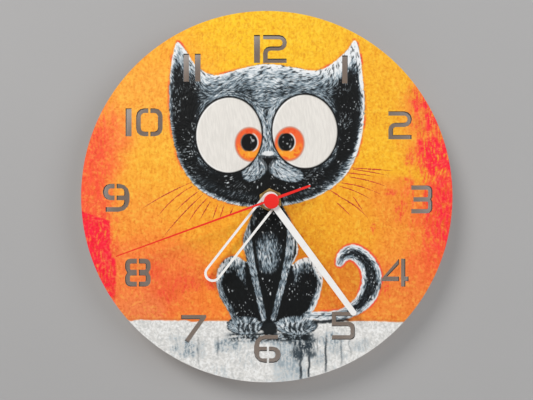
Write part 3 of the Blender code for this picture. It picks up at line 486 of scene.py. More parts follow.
def paint_outline(art, cat, ledge):
    """Warm shadow beside the cat and a broken red outline."""
    near = step(3.2 - np.maximum(np.minimum(cat.trunk, cat.tail), 0), 0, 3.2)
    art = lay(art, "D8801E", near * (1 - ledge) * 0.30)
    outline = step(0.75 - abs(cat.whole - 0.55), -0.2, 0.4) * (1 - ledge)
    crown = step(abs(X) - 6, 10, 30) * step(Z, 76, 84)
    warm_side = np.clip(step(X, 50, 60) + crown + step(-cat.tail, -2, 0) + step(-X, 54, 60) * 0.4, 0, 1)
    broken = 0.2 + 0.8 * step(cloud(10, 10, 105), 0.42, 0.6)
    return lay(art, "F2523E", outline * broken * (0.25 + 0.65 * warm_side))


def stroke_flow(cat):
    """Direction of the brush strokes over the whole cat."""
    flow = np.arctan2(Z - 22, X)
    middle = step(9 - abs(X), -4, 6) * step(Z, 14, 24) * step(-Z, -66, -50)
    ears = step(Z, 66, 84) * step(abs(X), 34, 46)
    rims = step(-cat.trunk, -1, 0) * step(cat.trunk, -5, -3) * step(-Z, 46, 52)
    for turn, share in (
        (along_edge(cat.head), step(Z, 44, 60) * step(-cat.head, -16, -2)),
        (UPRIGHT, middle),
        (along_edge(cat.eyes), step(8 - cat.eyes, 0, 5)),
        (UPRIGHT - 0.32 * np.sign(X), ears),
        (UPRIGHT, step(-Z, 4, 12)),
        (along_edge(cat.trunk), rims),
        (cat.tail_turn, step(-cat.tail, -1, 0)),
        (cat.left_turn, step(-cat.left_leg, -1, 0)),
        (cat.right_turn, step(-cat.right_leg, -1, 0)),
    ):
        flow = mean_turn(flow, turn, share)
    for paw, (cx, cz, _, _) in zip(cat.each_paw, PAWS):
        flow = mean_turn(flow, np.arctan2(Z - cz + 8, X - cx), step(-paw, -1, 0))
    return flow + sway(1.0, 5, 5, 111)


def head_tone(cat):
    """How pale the head is: 0 black, 1 white."""
    pale = np.full((N, N), 0.03)
    brow = step(Z + 0.12 * abs(X), 54, 84) * step(50 - abs(X), -4, 12)
    bridge = step(15 - abs(X), -3, 10) * step(Z, 18, 28)
    pale += (0.50 * np.maximum(brow, bridge) + 0.36 * step(Z, 68, 88)) * cat.in_head
    ring = step(6.0 - cat.eyes, 0, 3.5) * step(Z + 0.25 * abs(X), 20, 38)
    pale += 0.24 * ring * cat.in_head * (1 - 0.6 * brow)
    right_side = step(X, 40, 52)
    rim = step(cat.head, -3.4 - 2.6 * right_side, -0.4)
    strength = np.where(Z > 20, 0.42 + 0.42 * step(X, 20, 50), 0.72)
    pale += rim * strength * cat.in_head
    pale += 0.34 * step(cat.head, -10, -3) * right_side * step(Z, 6, 34) * cat.in_head
    pale += 0.40 * step(Z, 86, 100) * cat.in_head
    pale += 0.40 * step(Z, 76, 84) * step(61 - abs(X), 1, 7) * step(abs(X), 38, 46) * cat.in_head
    ear_top = Z - 0.67 * (abs(X) - 45) + sway(16, 3, 6, 148)
    black_ears = step(Z, 20, 30) * step(-ear_top, -80, -73) * step(abs(X), 44, 50)
    black_ears *= step(-cat.head, 1.5, 3.5)
    pale *= 1 - 0.85 * black_ears
    cheeks = np.minimum(*(ellipse(*cheek) for cheek in CHEEKS))
    pale = np.maximum(pale, 0.66 * step(-cheeks, -0.9, 0.9) * cat.in_head)
    return pale + 0.13 * step(6 - abs(ellipse(0, 24, 52, 25)), 0, 6) * step(-Z, -26, -8) * cat.in_head


def body_tone(cat, pale):
    """Adds how pale the trunk, the limbs and the tail are."""
    side = 1 + 0.25 * np.sign(X)
    in_trunk = (cat.trunk < 0) * cat.low
    pale += 0.60 * step(cat.trunk, -4.8, -2.2) * side * cat.low * (cat.trunk < 1) * step(-Z, 10, 20)
    haunches = step(Z + 0.10 * (abs(X - 2) - 26) ** 2 + 5 * cat.rag, -53, -45) * step(abs(X - 2), 15, 19)
    pale += 0.50 * haunches * in_trunk
    chest = np.hypot((X - 0.5) / 10.5, (Z + 38) / 15)
    core = step(-cat.tail, 2.0, 4.0)
    for part in (
        0.55 * step(-chest, -1.15, -0.45) * in_trunk,
        0.60 * step(-cat.legs, -0.3, 0.8) * cat.low,
        0.58 * step(-cat.paws, -0.5, 1.5),
        (0.80 - 0.68 * core) * (cat.tail < 0.6) * (cat.trunk > 0) * cat.low,
    ):
        pale = np.maximum(pale, part)
    return pale * (0.86 + 0.24 * step(cloud(7, 7, 131), 0.38, 0.62))


def paint_coat(cat, pale):
    """Colour of the fur in strokes, and how far the strokes stand up."""
    flow = stroke_flow(cat)
    fur = strokes(flow, 3.4, 1, 121)
    tuft = strokes(flow + 0.25, 4.2, 2, 122)
    fleck = strokes(flow, 1.8, 2, 123)
    mix = 0.72 * fur + 0.28 * tuft
    mix = (mix - mix.mean()) / mix.std()
    contrast = 0.012 + 0.16 * step(pale, 0.04, 0.26)
    coat = coat_colour(np.clip(pale + mix * contrast, 0, 1))
    dark = pale < 0.3
    for colour, cover in (
        ("11171B", step(1 - tuft, 0.78, 0.92) * step(pale, 0.15, 0.4) * 0.85),
        ("F4F6F7", step(fur, 0.82, 0.94) * step(pale, 0.25, 0.6) * 0.8),
        ("C3CDD3", step(fur, 0.80, 0.94) * step(0.12 + pale, 0.15, 0.36) * (pale < 0.4) * 0.8),
        ("DDE3E6", step(fleck, 0.93, 0.97) * step(cloud(9, 9, 141), 0.44, 0.56) * dark),
        ("B4BEC4", step(fur, 0.86, 0.95) * step(cloud(12, 12, 147), 0.50, 0.60) * dark * cat.in_head * 0.9),
    ):
        coat = lay(coat, colour, cover)
    thin_rim = step(0.55 - abs(cat.whole + 0.5), -0.3, 0.3)
    lit = np.clip(step(X, 18, 34) + step(Z, 78, 86) + 0.35, 0, 1) * step(cloud(6, 6, 143), 0.3, 0.5)
    coat = lay(coat, "F3F4F6", thin_rim * lit * 0.75)
    gap = step(1.0 - abs(cat.legs - 0.9), -0.25, 0.35) * (cat.trunk < -1) * (Z > -84) * cat.low
    return paint_toes(lay(coat, "0C0F10", gap * 0.9), cat, fur), mix


def paint_toes(coat, cat, fur):
    """Four bowed pale strokes on each paw, each with a dark line on both sides."""
    for (cx, cz, _, _), first in zip(PAWS, FIRST_TOES):
        for k in range(4):
            bow = abs(X - cx - first - TOE_PITCH * k - 0.11 * (Z - cz + 1.5) ** 2 + 1.6 * cat.rag)
            reach = step(3.6 - abs(Z - cz + 1.4), -0.6, 1.2)
            coat = lay(coat, "DCE4E9", step(0.6 - bow, -0.3, 0.3) * reach * step(fur, 0.2, 0.5) * 0.7)
            beside = step(0.5 - abs(bow - 1.3), -0.3, 0.3) * (cat.paws < 0)
            coat = lay(coat, "0D1114", beside * reach * 0.7)
    return coat


def paint_under(art, cat, shape, mottle):
    """Ragged dark strokes on the ledge, under and between the paws and under the tail."""
    under = step(3.8 - abs(Z + 94.6), 0, 2.4) * step(33 - abs(X - 3), 0, 10) * (1 - shape)
    ragged = 0.3 * mottle + 0.7 * cloud(7, 1.5, 145)
    art = lay(art, "8A99A4", under * step(ragged, 0.34, 0.42) * 0.8)
    art = lay(art, "12181B", under * step(ragged, 0.44, 0.50) * 0.95)
    between = ellipse(1.6, -88.4, 5.4, 5.2)
    art = lay(art, "101416", edge(between + 2.5 * cat.rag, 0.6) * 0.95)
    tail_shade = step(1.1 + 1.2 * cat.rag - abs(Z + 84.0 - 0.07 * (X - 40)), -0.5, 0.5)
    return lay(art, "161B1E", tail_shade * step(X, 28, 34) * step(-X, -60, -52) * 0.9)


def paint_cat(art, height, cat, ledge, mottle):
    """Black cat with blue-grey brushed highlights, sitting on the ledge."""
    art = paint_outline(art, cat, ledge)
    coat, mix = paint_coat(cat, body_tone(cat, head_tone(cat)))
    shape = edge(np.minimum(cat.whole, cat.paws) + cat.rag * 0.8, 0.3)
    art = paint_under(lay(art, coat, shape), cat, shape, mottle)
    return art, height * (1 - shape) + shape * (0.75 + mix * 0.28)


def paint_eyes(art, height, eyes):
    """White eyeballs with a dark outline, orange irises and black pupils with pale flakes."""
    art = lay(art, "0B0D0E", edge(eyes - 0.8 - 0.6 * cloud(7, 7, 151), 0.3))
    brush = strokes(UPRIGHT + sway(1, 30, 30, 152), 8, 2, 153)
    ball = tinted("E6E2DC") * (1 + (brush[..., None] - 0.5) * 0.05)
    outward = X - np.sign(X) * 25.5
    ball = lay(ball, "FBFAF8", step(eyes, -1.4, -0.3) * step(-outward, -4, 12) * 0.9)
    ball = lay(ball, "CBC7C1", step(eyes, -1.6, 0) * step(outward, 2, 14) * 0.45)
    art = lay(art, ball, edge(eyes, 0.25))
    height = np.where(eyes < 0, 1.1 + (brush - 0.5) * 0.12, height)
    for cx, cz, tilt, pupil_x, pupil_z in IRISES:
        iris = ellipse(cx, cz, *IRIS_RADII, tilt)
        warm = step(cz - Z + 0.25 * sway(20, 3, 3, 161), -3, 6)
        tint = lay(tinted("F26634"), "FA9C2C", warm)
        tint = lay(tint, "E8461E", step(cloud(1.8, 1.8, 165, 2), 0.56, 0.7) * 0.6)
        tint = lay(tint, "FFC04A", step(cloud(1.8, 1.8, 169, 2), 0.62, 0.76) * warm * 0.6)
        tint = lay(tint, "EF6440", step(iris, -1.5, -0.4) * 0.75)
        art = lay(art, "C07860", step(0.7 - abs(iris - 0.2), -0.2, 0.4) * edge(eyes, 0.3) * 0.7)
        art = lay(art, tint, edge(iris, 0.3) * edge(eyes - 0.2, 0.3))
        dabbed = 1.35 + sway(0.3, 2, 2, 171, 2)
        height = np.where((iris < 0) & (eyes < 0), dabbed, height)
        pupil = ellipse(pupil_x, pupil_z, *PUPIL_RADII)
        art = lay(art, "E9E4E0", edge(pupil - 0.55, 0.3) * step(X - pupil_x, 1, 3.5))
        art = lay(art, "6C6A66", edge(pupil - 0.3, 0.3) * step(pupil_x - X, 1, 3.5))
        art = lay(art, "0A0B0C", edge(pupil + 0.35, 0.3))
        flakes = step(cloud(1.5, 2.2, 175 + int(cx) % 7, 2), 0.70, 0.80) * step(-pupil, 1.0, 2.2)
        art = lay(art, "C8CBCB", flakes * 0.85)
    return art, height


def paint_nose(art, rag):
    nose = region(spline(NOSE), 8)
    line = limb(LIP_LINE, LIP_RADII, 4)[0]
    art = lay(art, "0B0C0D", edge(np.minimum(nose, line), 0.35))
    tip = ellipse(0.9, 29.2, 4.2, 1.7)
    return lay(art, "F3F5F6", edge(tip + rag, 0.5) * 0.9)


def paint():
    """The picture's colours, the height of its paint, and a field that is low where it needs fine mesh."""
    art, height, upright = paint_ground()
    art, height, ledge, mottle = paint_ledge(art, height, upright)
    cat = Cat()
    art, height = paint_cat(art, height, cat, ledge, mottle)
    art, height = paint_eyes(art, height, cat.eyes)
    art = paint_nose(art, cat.rag)
    puddle = np.hypot((X - 25) / 12, (Z + 104) / 14) * 8 - 8
    return np.clip(art, 0, 1), height, np.minimum.reduce([cat.whole, cat.paws, puddle]) - 1.0


# ---- dial face: a fine mesh that carries the picture ----

WELD = 0.001 * MM
RIM_POINTS, WHISKER_STEPS = 512, 14
LOWEST, HIGHEST = -0.3, 2      # paint heights between which it is kept, so that it stays in front
# in mm
RELIEF = 0.19                  # rise for a paint height of 1
PRINT_LIFT = 0.08              # how far the print stands in front of the board
LIP_DEPTH = 0.005              # how far its edge reaches into the board
RIM_GAP, RIM_FADE = 0.01, 0.6  # the print ends just inside the rim, and its relief fades out there
FINE, COARSE = 0.42, 0.69      # between the mesh points on the cat and on the ground
COARSE_SHIFT = 0.13            # keeps the coarse points off the fine ones
HOLE_STEP = 0.8                # longest edge round a hole
HOLE_MARGIN, HOLE_CLEARANCE = 0.25, 0.2
WHISKER_HALF_WIDTH, WHISKER_LIFT, WHISKER_SUNK = 0.55, 0.10, 0.05


@contextmanager
def editing(mesh, keep=True):
    """The mesh as a bmesh, written back afterwards unless keep is False."""
    bm = bmesh.new()
    bm.from_mesh(mesh)
    yield bm
    if keep:
        bm.to_mesh(mesh)
    bm.free()


def dial_loops():
    """Outlines of the CAD dial's front face, in mm from the disc's centre: the rim, then the holes."""
    loops = []
    with editing(frame["nodes"]["dial_disc"].data, keep=False) as bm:
        bmesh.ops.remove_doubles(bm, verts=bm.verts, dist=WELD)
        bm.verts.ensure_lookup_table()
        front = {f for f in bm.faces if abs(f.calc_center_median().y - DIAL_FRONT) < 0.01 * MM}
        after = {}
        for border in bm.edges:
            inner = [f for f in border.link_faces if f in front]
            if len(inner) == 1:
                loop = next(loop for loop in inner[0].loops if loop.edge == border)
                after[loop.vert.index] = loop.link_loop_next.vert.index
        while after:
            start, spot = after.popitem()
            chain = [start]
            while spot != start:
                chain.append(spot)
                spot = after.pop(spot)
            points = [bm.verts[i].co for i in chain]
            loops.append(np.array([((p.x - DIAL_X) / MM, (p.z - DIAL_Z) / MM) for p in points]))
    return sorted(loops, key=lambda loop: -np.ptp(loop[:, 0]))


def near_hole(hole, x, z):
    """Points inside a hole or too close to its edge."""
    around = (x > hole[:, 0].min() - HOLE_MARGIN) & (x < hole[:, 0].max() + HOLE_MARGIN)
    around &= (z > hole[:, 1].min() - HOLE_MARGIN) & (z < hole[:, 1].max() + HOLE_MARGIN)
    px, pz = x[around], z[around]
    close = np.zeros(len(x), bool)
    close[around] = encloses(hole, px, pz) | (distance(hole, px, pz, HOLE_MARGIN) <= HOLE_CLEARANCE)
    return close


def lattice(spacing, shift=0.0):
    """Triangular lattice over the disc."""
    rise = spacing * math.sqrt(3) / 2
    rows = int(DIAL_RADIUS_MM / rise) + 1
    columns = int(DIAL_RADIUS_MM / spacing) + 1
    i, k = np.meshgrid(np.arange(-columns, columns + 1), np.arange(-rows, rows + 1))
    x = (i + 0.5 * (k % 2)) * spacing + shift
    z = k * rise + shift
    keep = np.hypot(x, z) < DIAL_RADIUS_MM - 0.5 * spacing
    return x[keep], z[keep]


def subdivided(loop, longest):
    """The outline with its long edges split."""
    out = []
    for (ax, az), (bx, bz) in sides(loop):
        count = max(1, math.ceil(math.hypot(bx - ax, bz - az) / longest))
        out += [(ax + (bx - ax) * k / count, az + (bz - az) * k / count) for k in range(count)]
    return np.array(out)


def sample(canvas, x, z):
    """Value of the canvas at points, between its pixels."""
    u, v = (x + SIDE) / CELL, (z + SIDE) / CELL
    j, i = u.astype(int), v.astype(int)
    fu, fv = u - j, v - i
    if canvas.ndim == 3:
        fu, fv = fu[:, None], fv[:, None]
    low = canvas[i, j] * (1 - fu) + canvas[i, j + 1] * fu
    high = canvas[i + 1, j] * (1 - fu) + canvas[i + 1, j + 1] * fu
    return low * (1 - fv) + high * fv


def to_linear(colour):
    curved = ((np.clip(colour, 0, None) + 0.055) / 1.055) ** 2.4
    return np.where(colour <= 0.04045, colour / 12.92, curved)


def proud(rise):
    """Mm that paint of this height stands in front of the board."""
    return PRINT_LIFT + RELIEF * np.clip(rise, LOWEST, HIGHEST)


def picture_points(holes, busy):
    """Mesh points: the rim and the holes as closed outlines, then a fine and a coarser lattice."""
    turns = np.linspace(0, 2 * math.pi, RIM_POINTS, endpoint=False)
    rim = np.stack([np.cos(turns), np.sin(turns)], 1) * (DIAL_RADIUS_MM - RIM_GAP)
    x0, z0 = lattice(FINE)
    fine = sample(busy, x0, z0) < 0
    x1, z1 = lattice(COARSE, COARSE_SHIFT)
    coarse = sample(busy, x1, z1) >= 0.5 * COARSE
    x, z = np.concatenate([x0[fine], x1[coarse]]), np.concatenate([z0[fine], z1[coarse]])
    clear = np.ones(len(x), bool)
    for hole in holes:
        clear &= ~near_hole(hole, x, z)
    points, edges = [], []
    for loop in [rim, *holes]:
        first = len(points)
        points += [Vector(p) for p in loop]
        edges += [(first + k, first + (k + 1) % len(loop)) for k in range(len(loop))]
    points += [Vector(p) for p in zip(x[clear], z[clear])]
    return points, edges


def picture_faces(points, edges, holes):
    """Triangles between the points, none inside a hole, all facing forward."""
    verts, _, faces, *_ = delaunay_2d_cdt(points, edges, [], 1, 1e-6, False)
    flat_points = np.array([tuple(v) for v in verts])
    faces = np.array(faces)
    x, z = flat_points[faces].mean(1).T
    solid = np.ones(len(faces), bool)
    for hole in holes:
        solid &= ~encloses(hole, x, z)
    faces = faces[solid]
    a, b, c = (flat_points[faces[:, k]] for k in range(3))
    turn = (b[:, 0] - a[:, 0]) * (c[:, 1] - a[:, 1]) - (b[:, 1] - a[:, 1]) * (c[:, 0] - a[:, 0])
    faces[turn < 0] = faces[turn < 0][:, ::-1]
    return flat_points, faces


def open_edges(faces):
    """Edges with a face on one side only, in the direction of that face, with the face's number."""
    ends = np.concatenate([faces[:, [0, 1]], faces[:, [1, 2]], faces[:, [2, 0]]])
    owner = np.tile(np.arange(len(faces)), 3)
    key = np.sort(ends, 1) @ np.array([1 << 32, 1])
    _, first, count = np.unique(key, return_index=True, return_counts=True)
    alone = first[count == 1]
    return ends[alone], owner[alone]


def picture_piece(name, places, colours, faces, borders):
    """Part of the picture as its own mesh, with a lip along its share of the rim and the holes."""
    lip = np.concatenate([borders, borders[:, ::-1] + len(places)], 1)
    below = places.copy()
    below[:, 1] = DIAL_FRONT + LIP_DEPTH * MM
    used, faces_at = np.unique(np.concatenate([faces.ravel(), lip.ravel()]), return_inverse=True)
    triangles = faces_at[:faces.size].reshape(faces.shape)
    quads = faces_at[faces.size:].reshape(lip.shape)[:, ::-1]
    mesh = bpy.data.meshes.new(name)
    verts = np.concatenate([places, below])[used]
    mesh.from_pydata(verts.tolist(), [], triangles.tolist() + quads.tolist())
    layer = mesh.color_attributes.new("picture", "FLOAT_COLOR", "POINT")
    layer.data.foreach_set("color", np.concatenate([colours, colours])[used].ravel())
    mesh.shade_smooth()
    mesh.set_sharp_from_angle(angle=math.radians(60))
    add_piece(name, mesh, "dial_board", PICTURE)


def build_dial_picture():
    """The painted print on the board, in two pieces that meet along the cat's outline."""
    art, height, busy = paint()
    holes = [subdivided(loop, HOLE_STEP) for loop in dial_loops()[1:]]
    flat_points, faces = picture_faces(*picture_points(holes, busy), holes)
    x, z = flat_points.T
    rise = sample(height, x, z) * np.clip((DIAL_RADIUS_MM - np.hypot(x, z)) / RIM_FADE, 0, 1)
    places = np.stack([DIAL_X + x * MM, DIAL_FRONT - proud(rise) * MM, DIAL_Z + z * MM], 1)
    colours = np.concatenate([to_linear(sample(art, x, z)), np.ones((len(x), 1))], 1)
    borders, owner = open_edges(faces)
    on_cat = sample(busy, *flat_points[faces].mean(1).T) < -1.0
    for name, part in (("dial_print_cat", on_cat), ("dial_print_ground", ~on_cat)):
        picture_piece(name, places, colours, faces[part], borders[part[owner]])
    return height


def hair_path(x, z, heading, length, bend):
    """Points and headings along a hair that bends evenly."""
    out = [(x, z, math.radians(heading))]
    for k in range(WHISKER_STEPS):
        turn = math.radians(heading + bend * (k + 0.5) / WHISKER_STEPS)
        x += length / WHISKER_STEPS * math.cos(turn)
        z += length / WHISKER_STEPS * math.sin(turn)
        out.append((x, z, turn))
    return np.array(out)


def build_whiskers(height):
    """Whiskers as thin raised strokes of paint that swell from the root and taper to the tip."""
    points, faces = [], []
    share = np.linspace(0, 1, WHISKER_STEPS + 1)
    swell = 0.45 + 0.55 * np.sin(math.pi / 2 * np.clip(share * 1.6, 0, 1))
    half = WHISKER_HALF_WIDTH * swell * (1 - share ** 3) + WHISKER_SUNK
    for whisker in WHISKERS:
        path = hair_path(*whisker)
        first = len(points)
        for (px, pz, turn), wide, base in zip(path, half, proud(sample(height, *path.T[:2]))):
            for side, lift in ((1, -WHISKER_SUNK), (0, WHISKER_LIFT), (-1, -WHISKER_SUNK)):
                sx, sz = px - side * wide * math.sin(turn), pz + side * wide * math.cos(turn)
                points.append((DIAL_X + sx * MM, DIAL_FRONT - (base + lift) * MM, DIAL_Z + sz * MM))
        for a in range(first, first + 3 * WHISKER_STEPS, 3):
            faces += [(a, a + 1, a + 4, a + 3), (a + 1, a + 2, a + 5, a + 4)]
    mesh = bpy.data.meshes.new("whiskers")
    mesh.from_pydata(points, [], faces)
    mesh.shade_smooth()
    add_piece("whiskers", mesh, "dial_board", WHISKER_PAINT)


# ---- materials ----

def rgba(colour):
    """Four linear channels of a colour that is a code or three of them."""
    return (*(to_linear(rgb(colour)) if isinstance(colour, str) else colour), 1.0)


class Nodes:
    """Short way to build a node tree."""

    def __init__(self, name):
        self.material = bpy.data.materials.new(name)
        self.material.use_nodes = True
        self.tree = self.material.node_tree
        self.shader = self.tree.nodes["Principled BSDF"]
        self.place = self.add("TexCoord").outputs["Object"]

    def add(self, kind, **inputs):
        node = self.tree.nodes.new("ShaderNode" + kind)
        for key, value in inputs.items():
            self.put(node, key.replace("_", " "), value)
        return node

    def put(self, node, key, value):
        """Links or sets an input, named or numbered. A colour is a code or three linear channels."""
        if isinstance(value, bpy.types.NodeSocket):
            self.tree.links.new(value, node.inputs[key])
        else:
            node.inputs[key].default_value = rgba(value) if isinstance(value, (str, tuple)) else value

    def axis(self, name, place):
        return self.add("SeparateXYZ", Vector=place).outputs[name]

    def stretched(self, *scale):
        node = self.add("Mapping", Vector=self.place)
        node.inputs["Scale"].default_value = scale
        return node.outputs[0]

    def noise(self, size_mm, detail=3.0, rough=0.6, stretch=(1, 1, 1), warp=0.0):
        place = self.stretched(*(s / (size_mm * MM) for s in stretch))
        return self.add("TexNoise", Vector=place, Scale=1.0, Detail=detail, Roughness=rough,
                        Distortion=warp).outputs["Fac"]

    def ramp(self, value, *stops):
        node = self.add("ValToRGB", Fac=value)
        line = node.color_ramp
        while len(line.elements) < len(stops):
            line.elements.new(0.5)
        for element, (spot, colour) in zip(line.elements, stops):
            element.position = spot
            element.color = rgba(colour)
        return node.outputs["Color"]

    def range(self, value, low, high, to_low=0.0, to_high=1.0):
        return self.add("MapRange", Value=value, From_Min=low, From_Max=high, To_Min=to_low,
                        To_Max=to_high).outputs["Result"]

    def mix(self, share, a, b, blend="MIX"):
        node = self.add("Mix")
        node.data_type = "RGBA"
        node.blend_type = blend
        for key, value in ((0, share), (6, a), (7, b)):
            self.put(node, key, value)
        return node.outputs[2]

    def math(self, operation, a, b=0.0):
        node = self.add("Math")
        node.operation = operation
        self.put(node, 0, a)
        self.put(node, 1, b)
        return node.outputs[0]

    def bump(self, height, depth_mm, strength=0.5, under=None):
        node = self.add("Bump", Height=height, Strength=strength, Distance=depth_mm * MM)
        if under is not None:
            self.put(node, "Normal", under)
        return node.outputs["Normal"]

    def done(self, **inputs):
        for key, value in inputs.items():
            self.put(self.shader, key.replace("_", " "), value)
        return self.material


def whisker_material():
    """Brick-red oil paint."""
    n = Nodes("whisker_paint")
    tone = n.noise(2.2)
    colour = n.ramp(tone, (0.30, "982010"), (0.5, "C43016"), (0.72, "E0521F"))
    return n.done(Base_Color=colour, Roughness=n.range(tone, 0.3, 0.7, 0.4, 0.55))


def picture_material():
    """The painted colours, with fine dirt, brush marks and canvas grain."""
    n = Nodes("dial_print")
    colour = n.add("Attribute")
    colour.attribute_name = "picture"
    grain = n.noise(0.55, 4, 0.7)
    dusty = n.ramp(grain, (0.3, (0.55, 0.5, 0.45)), (0.7, (1, 1, 1)))
    tint = n.mix(0.10, colour.outputs["Color"], dusty, "MULTIPLY")
    brush = n.noise(1.4, rough=0.65, stretch=(1, 1, 0.35), warp=0.6)
    canvas = n.noise(0.35, 2, 0.5)
    normal = n.bump(brush, 0.10, strength=0.55)
    normal = n.bump(canvas, 0.04, under=normal)
    return n.done(Base_Color=tint, Roughness=n.range(brush, 0.3, 0.7, 0.40, 0.60), Normal=normal,
                  Specular_IOR_Level=0.2)


def board_material():
    """Fibreboard: plain brown back, and cut walls scorched by the laser."""
    n = Nodes("fibreboard")
    fibre = n.noise(1.1, 5, 0.75)
    fluff = n.noise(6.0)
    flat_colour = n.ramp(fibre, (0.30, "8E6B48"), (0.52, "A88460"), (0.72, "C2A37E"))
    flat_colour = n.mix(n.range(fluff, 0.35, 0.65, 0.0, 0.35), flat_colour, "97734F")
    lines = n.noise(0.8, stretch=(1, 0.15, 1))
    burnt = n.ramp(lines, (0.35, "14100D"), (0.7, "3A2B20"))
    facing = n.axis("Y", n.add("NewGeometry").outputs["Normal"])
    wall = n.math("LESS_THAN", n.math("ABSOLUTE", facing), 0.5)
    colour = n.mix(wall, flat_colour, burnt)
    return n.done(Base_Color=colour, Roughness=n.range(fibre, 0.3, 0.7, 0.62, 0.82),
                  Normal=n.bump(fibre, 0.06))


def moulded(name, code, dark, roughness, grain_mm=0.22, depth=0.02):
    """Moulded plastic with a fine eroded grain and slight clouding."""
    n = Nodes(name)
    cloudy = n.noise(9.0, 2, 0.5)
    grain = n.noise(grain_mm, 2, 0.5)
    colour = n.mix(n.range(cloudy, 0.3, 0.7), code, dark)
    return n.done(Base_Color=colour, Roughness=n.range(grain, 0.3, 0.7, roughness - 0.06, roughness + 0.08),
                  Normal=n.bump(grain, depth))


def metal(name, code, dark, roughness, stretch=(1, 1, 1), size_mm=0.5):
    """Metal with fine tool marks and a slightly uneven polish."""
    n = Nodes(name)
    marks = n.noise(size_mm, 4, 0.6, stretch=stretch)
    stain = n.noise(3.0)
    colour = n.mix(n.range(stain, 0.35, 0.7, 0.0, 0.8), code, dark)
    rough = n.math("ADD", n.range(marks, 0.25, 0.75, roughness - 0.07, roughness + 0.07),
                   n.range(stain, 0.4, 0.8, 0.0, 0.10))
    return n.done(Base_Color=colour, Roughness=rough, Metallic=1.0, Normal=n.bump(marks, 0.006, 0.6))


def enamel(name, code, shade, roughness):
    """Sprayed paint on sheet metal: faint orange peel and tiny dust."""
    n = Nodes(name)
    peel = n.noise(0.7, 2, 0.5)
    tone = n.noise(7.0)
    colour = n.mix(n.range(tone, 0.35, 0.7, 0.0, 0.7), code, shade)
    return n.done(Base_Color=colour, Roughness=n.range(peel, 0.3, 0.7, roughness - 0.05, roughness + 0.08),
                  Normal=n.bump(peel, 0.008), Coat_Weight=0.25, Coat_Roughness=0.2)


WIRE_MM, TRACKS_MM = 0.16, 2.2  # size of what repeats
# places along the cell, in metres: copper band, pale stripe with its half width, tin base
BAND_START, STRIPE, STRIPE_HALF, TIN_END = 0.0110, 0.0104, 0.0006, -0.0234


def winding_material():
    """Enamelled copper wire, wound in close turns."""
    n = Nodes("enamelled_wire")
    along = n.axis("X", n.stretched(*[1 / (WIRE_MM * MM)] * 3))
    turns = n.math("SINE", n.math("MULTIPLY", along, 2 * math.pi))
    tone = n.noise(1.2)
    colour = n.ramp(tone, (0.3, "8F4420"), (0.7, "C8743C"))
    return n.done(Base_Color=colour, Roughness=n.range(tone, 0.3, 0.7, 0.25, 0.4), Metallic=0.9,
                  Normal=n.bump(turns, 0.05, 0.8))


def board_green_material():
    """Green lacquer over a net of copper tracks."""
    n = Nodes("circuit_green")
    place = n.stretched(*[1 / (TRACKS_MM * MM)] * 3)
    tracks = n.add("TexBrick", Vector=place, Scale=1.0, Mortar_Size=0.09, Color1="0E4A26", Color2="125A2E",
                   Mortar="2C8A4C")
    speck = n.noise(0.5)
    colour = n.mix(n.range(speck, 0.4, 0.8, 0.0, 0.3), tracks.outputs["Color"], "0A3A1C")
    return n.done(Base_Color=colour, Roughness=n.range(speck, 0.3, 0.7, 0.28, 0.42),
                  Normal=n.bump(tracks.outputs["Fac"], 0.03))


def cell_material():
    """Printed film round the cell: a dark jacket with a copper-coloured band at the positive end."""
    n = Nodes("cell_jacket_print")
    along = n.axis("X", n.place)
    tone = n.noise(2.5)
    dark = n.mix(n.range(tone, 0.3, 0.7), "14181C", "1D2329")
    copper = n.mix(n.range(tone, 0.3, 0.7), "B46E38", "C98A50")
    band = n.math("GREATER_THAN", along, BAND_START)
    stripe = n.math("LESS_THAN", n.math("ABSOLUTE", n.math("SUBTRACT", along, STRIPE)), STRIPE_HALF)
    colour = n.mix(stripe, n.mix(band, dark, copper), "D9D4CA")
    tin = n.math("LESS_THAN", along, TIN_END)
    colour = n.mix(tin, colour, "B9B6AE")
    return n.done(Base_Color=colour, Roughness=n.range(tone, 0.3, 0.7, 0.22, 0.34),
                  Metallic=n.math("MAXIMUM", n.math("MULTIPLY", band, 0.7), tin))


def wall_material(name, code, glow=0.0):
    """Plain matt paint for the stage, with no pattern that shows."""
    n = Nodes(name)
    tone = n.noise(180.0, 2, 0.5)
    darker = tuple(0.97 * to_linear(rgb(code)))
    colour = n.mix(n.range(tone, 0.3, 0.7), code, darker)
    return n.done(Base_Color=colour, Roughness=0.9, Specular_IOR_Level=0.2, Emission_Strength=glow,
                  Emission_Color=(0.8, 0.9, 1.0))


def one_sided(material):
    """The backdrop lets everything through from behind, so that it doesn't hide the back of the clock."""
    tree = material.node_tree
    output = next(node for node in tree.nodes if node.type == "OUTPUT_MATERIAL")
    clear = tree.nodes.new("ShaderNodeBsdfTransparent")
    mix = tree.nodes.new("ShaderNodeMixShader")
    side = tree.nodes.new("ShaderNodeNewGeometry")
    tree.links.new(side.outputs["Backfacing"], mix.inputs[0])
    tree.links.new(tree.nodes["Principled BSDF"].outputs[0], mix.inputs[1])
    tree.links.new(clear.outputs[0], mix.inputs[2])
    tree.links.new(mix.outputs[0], output.inputs["Surface"])
    return material


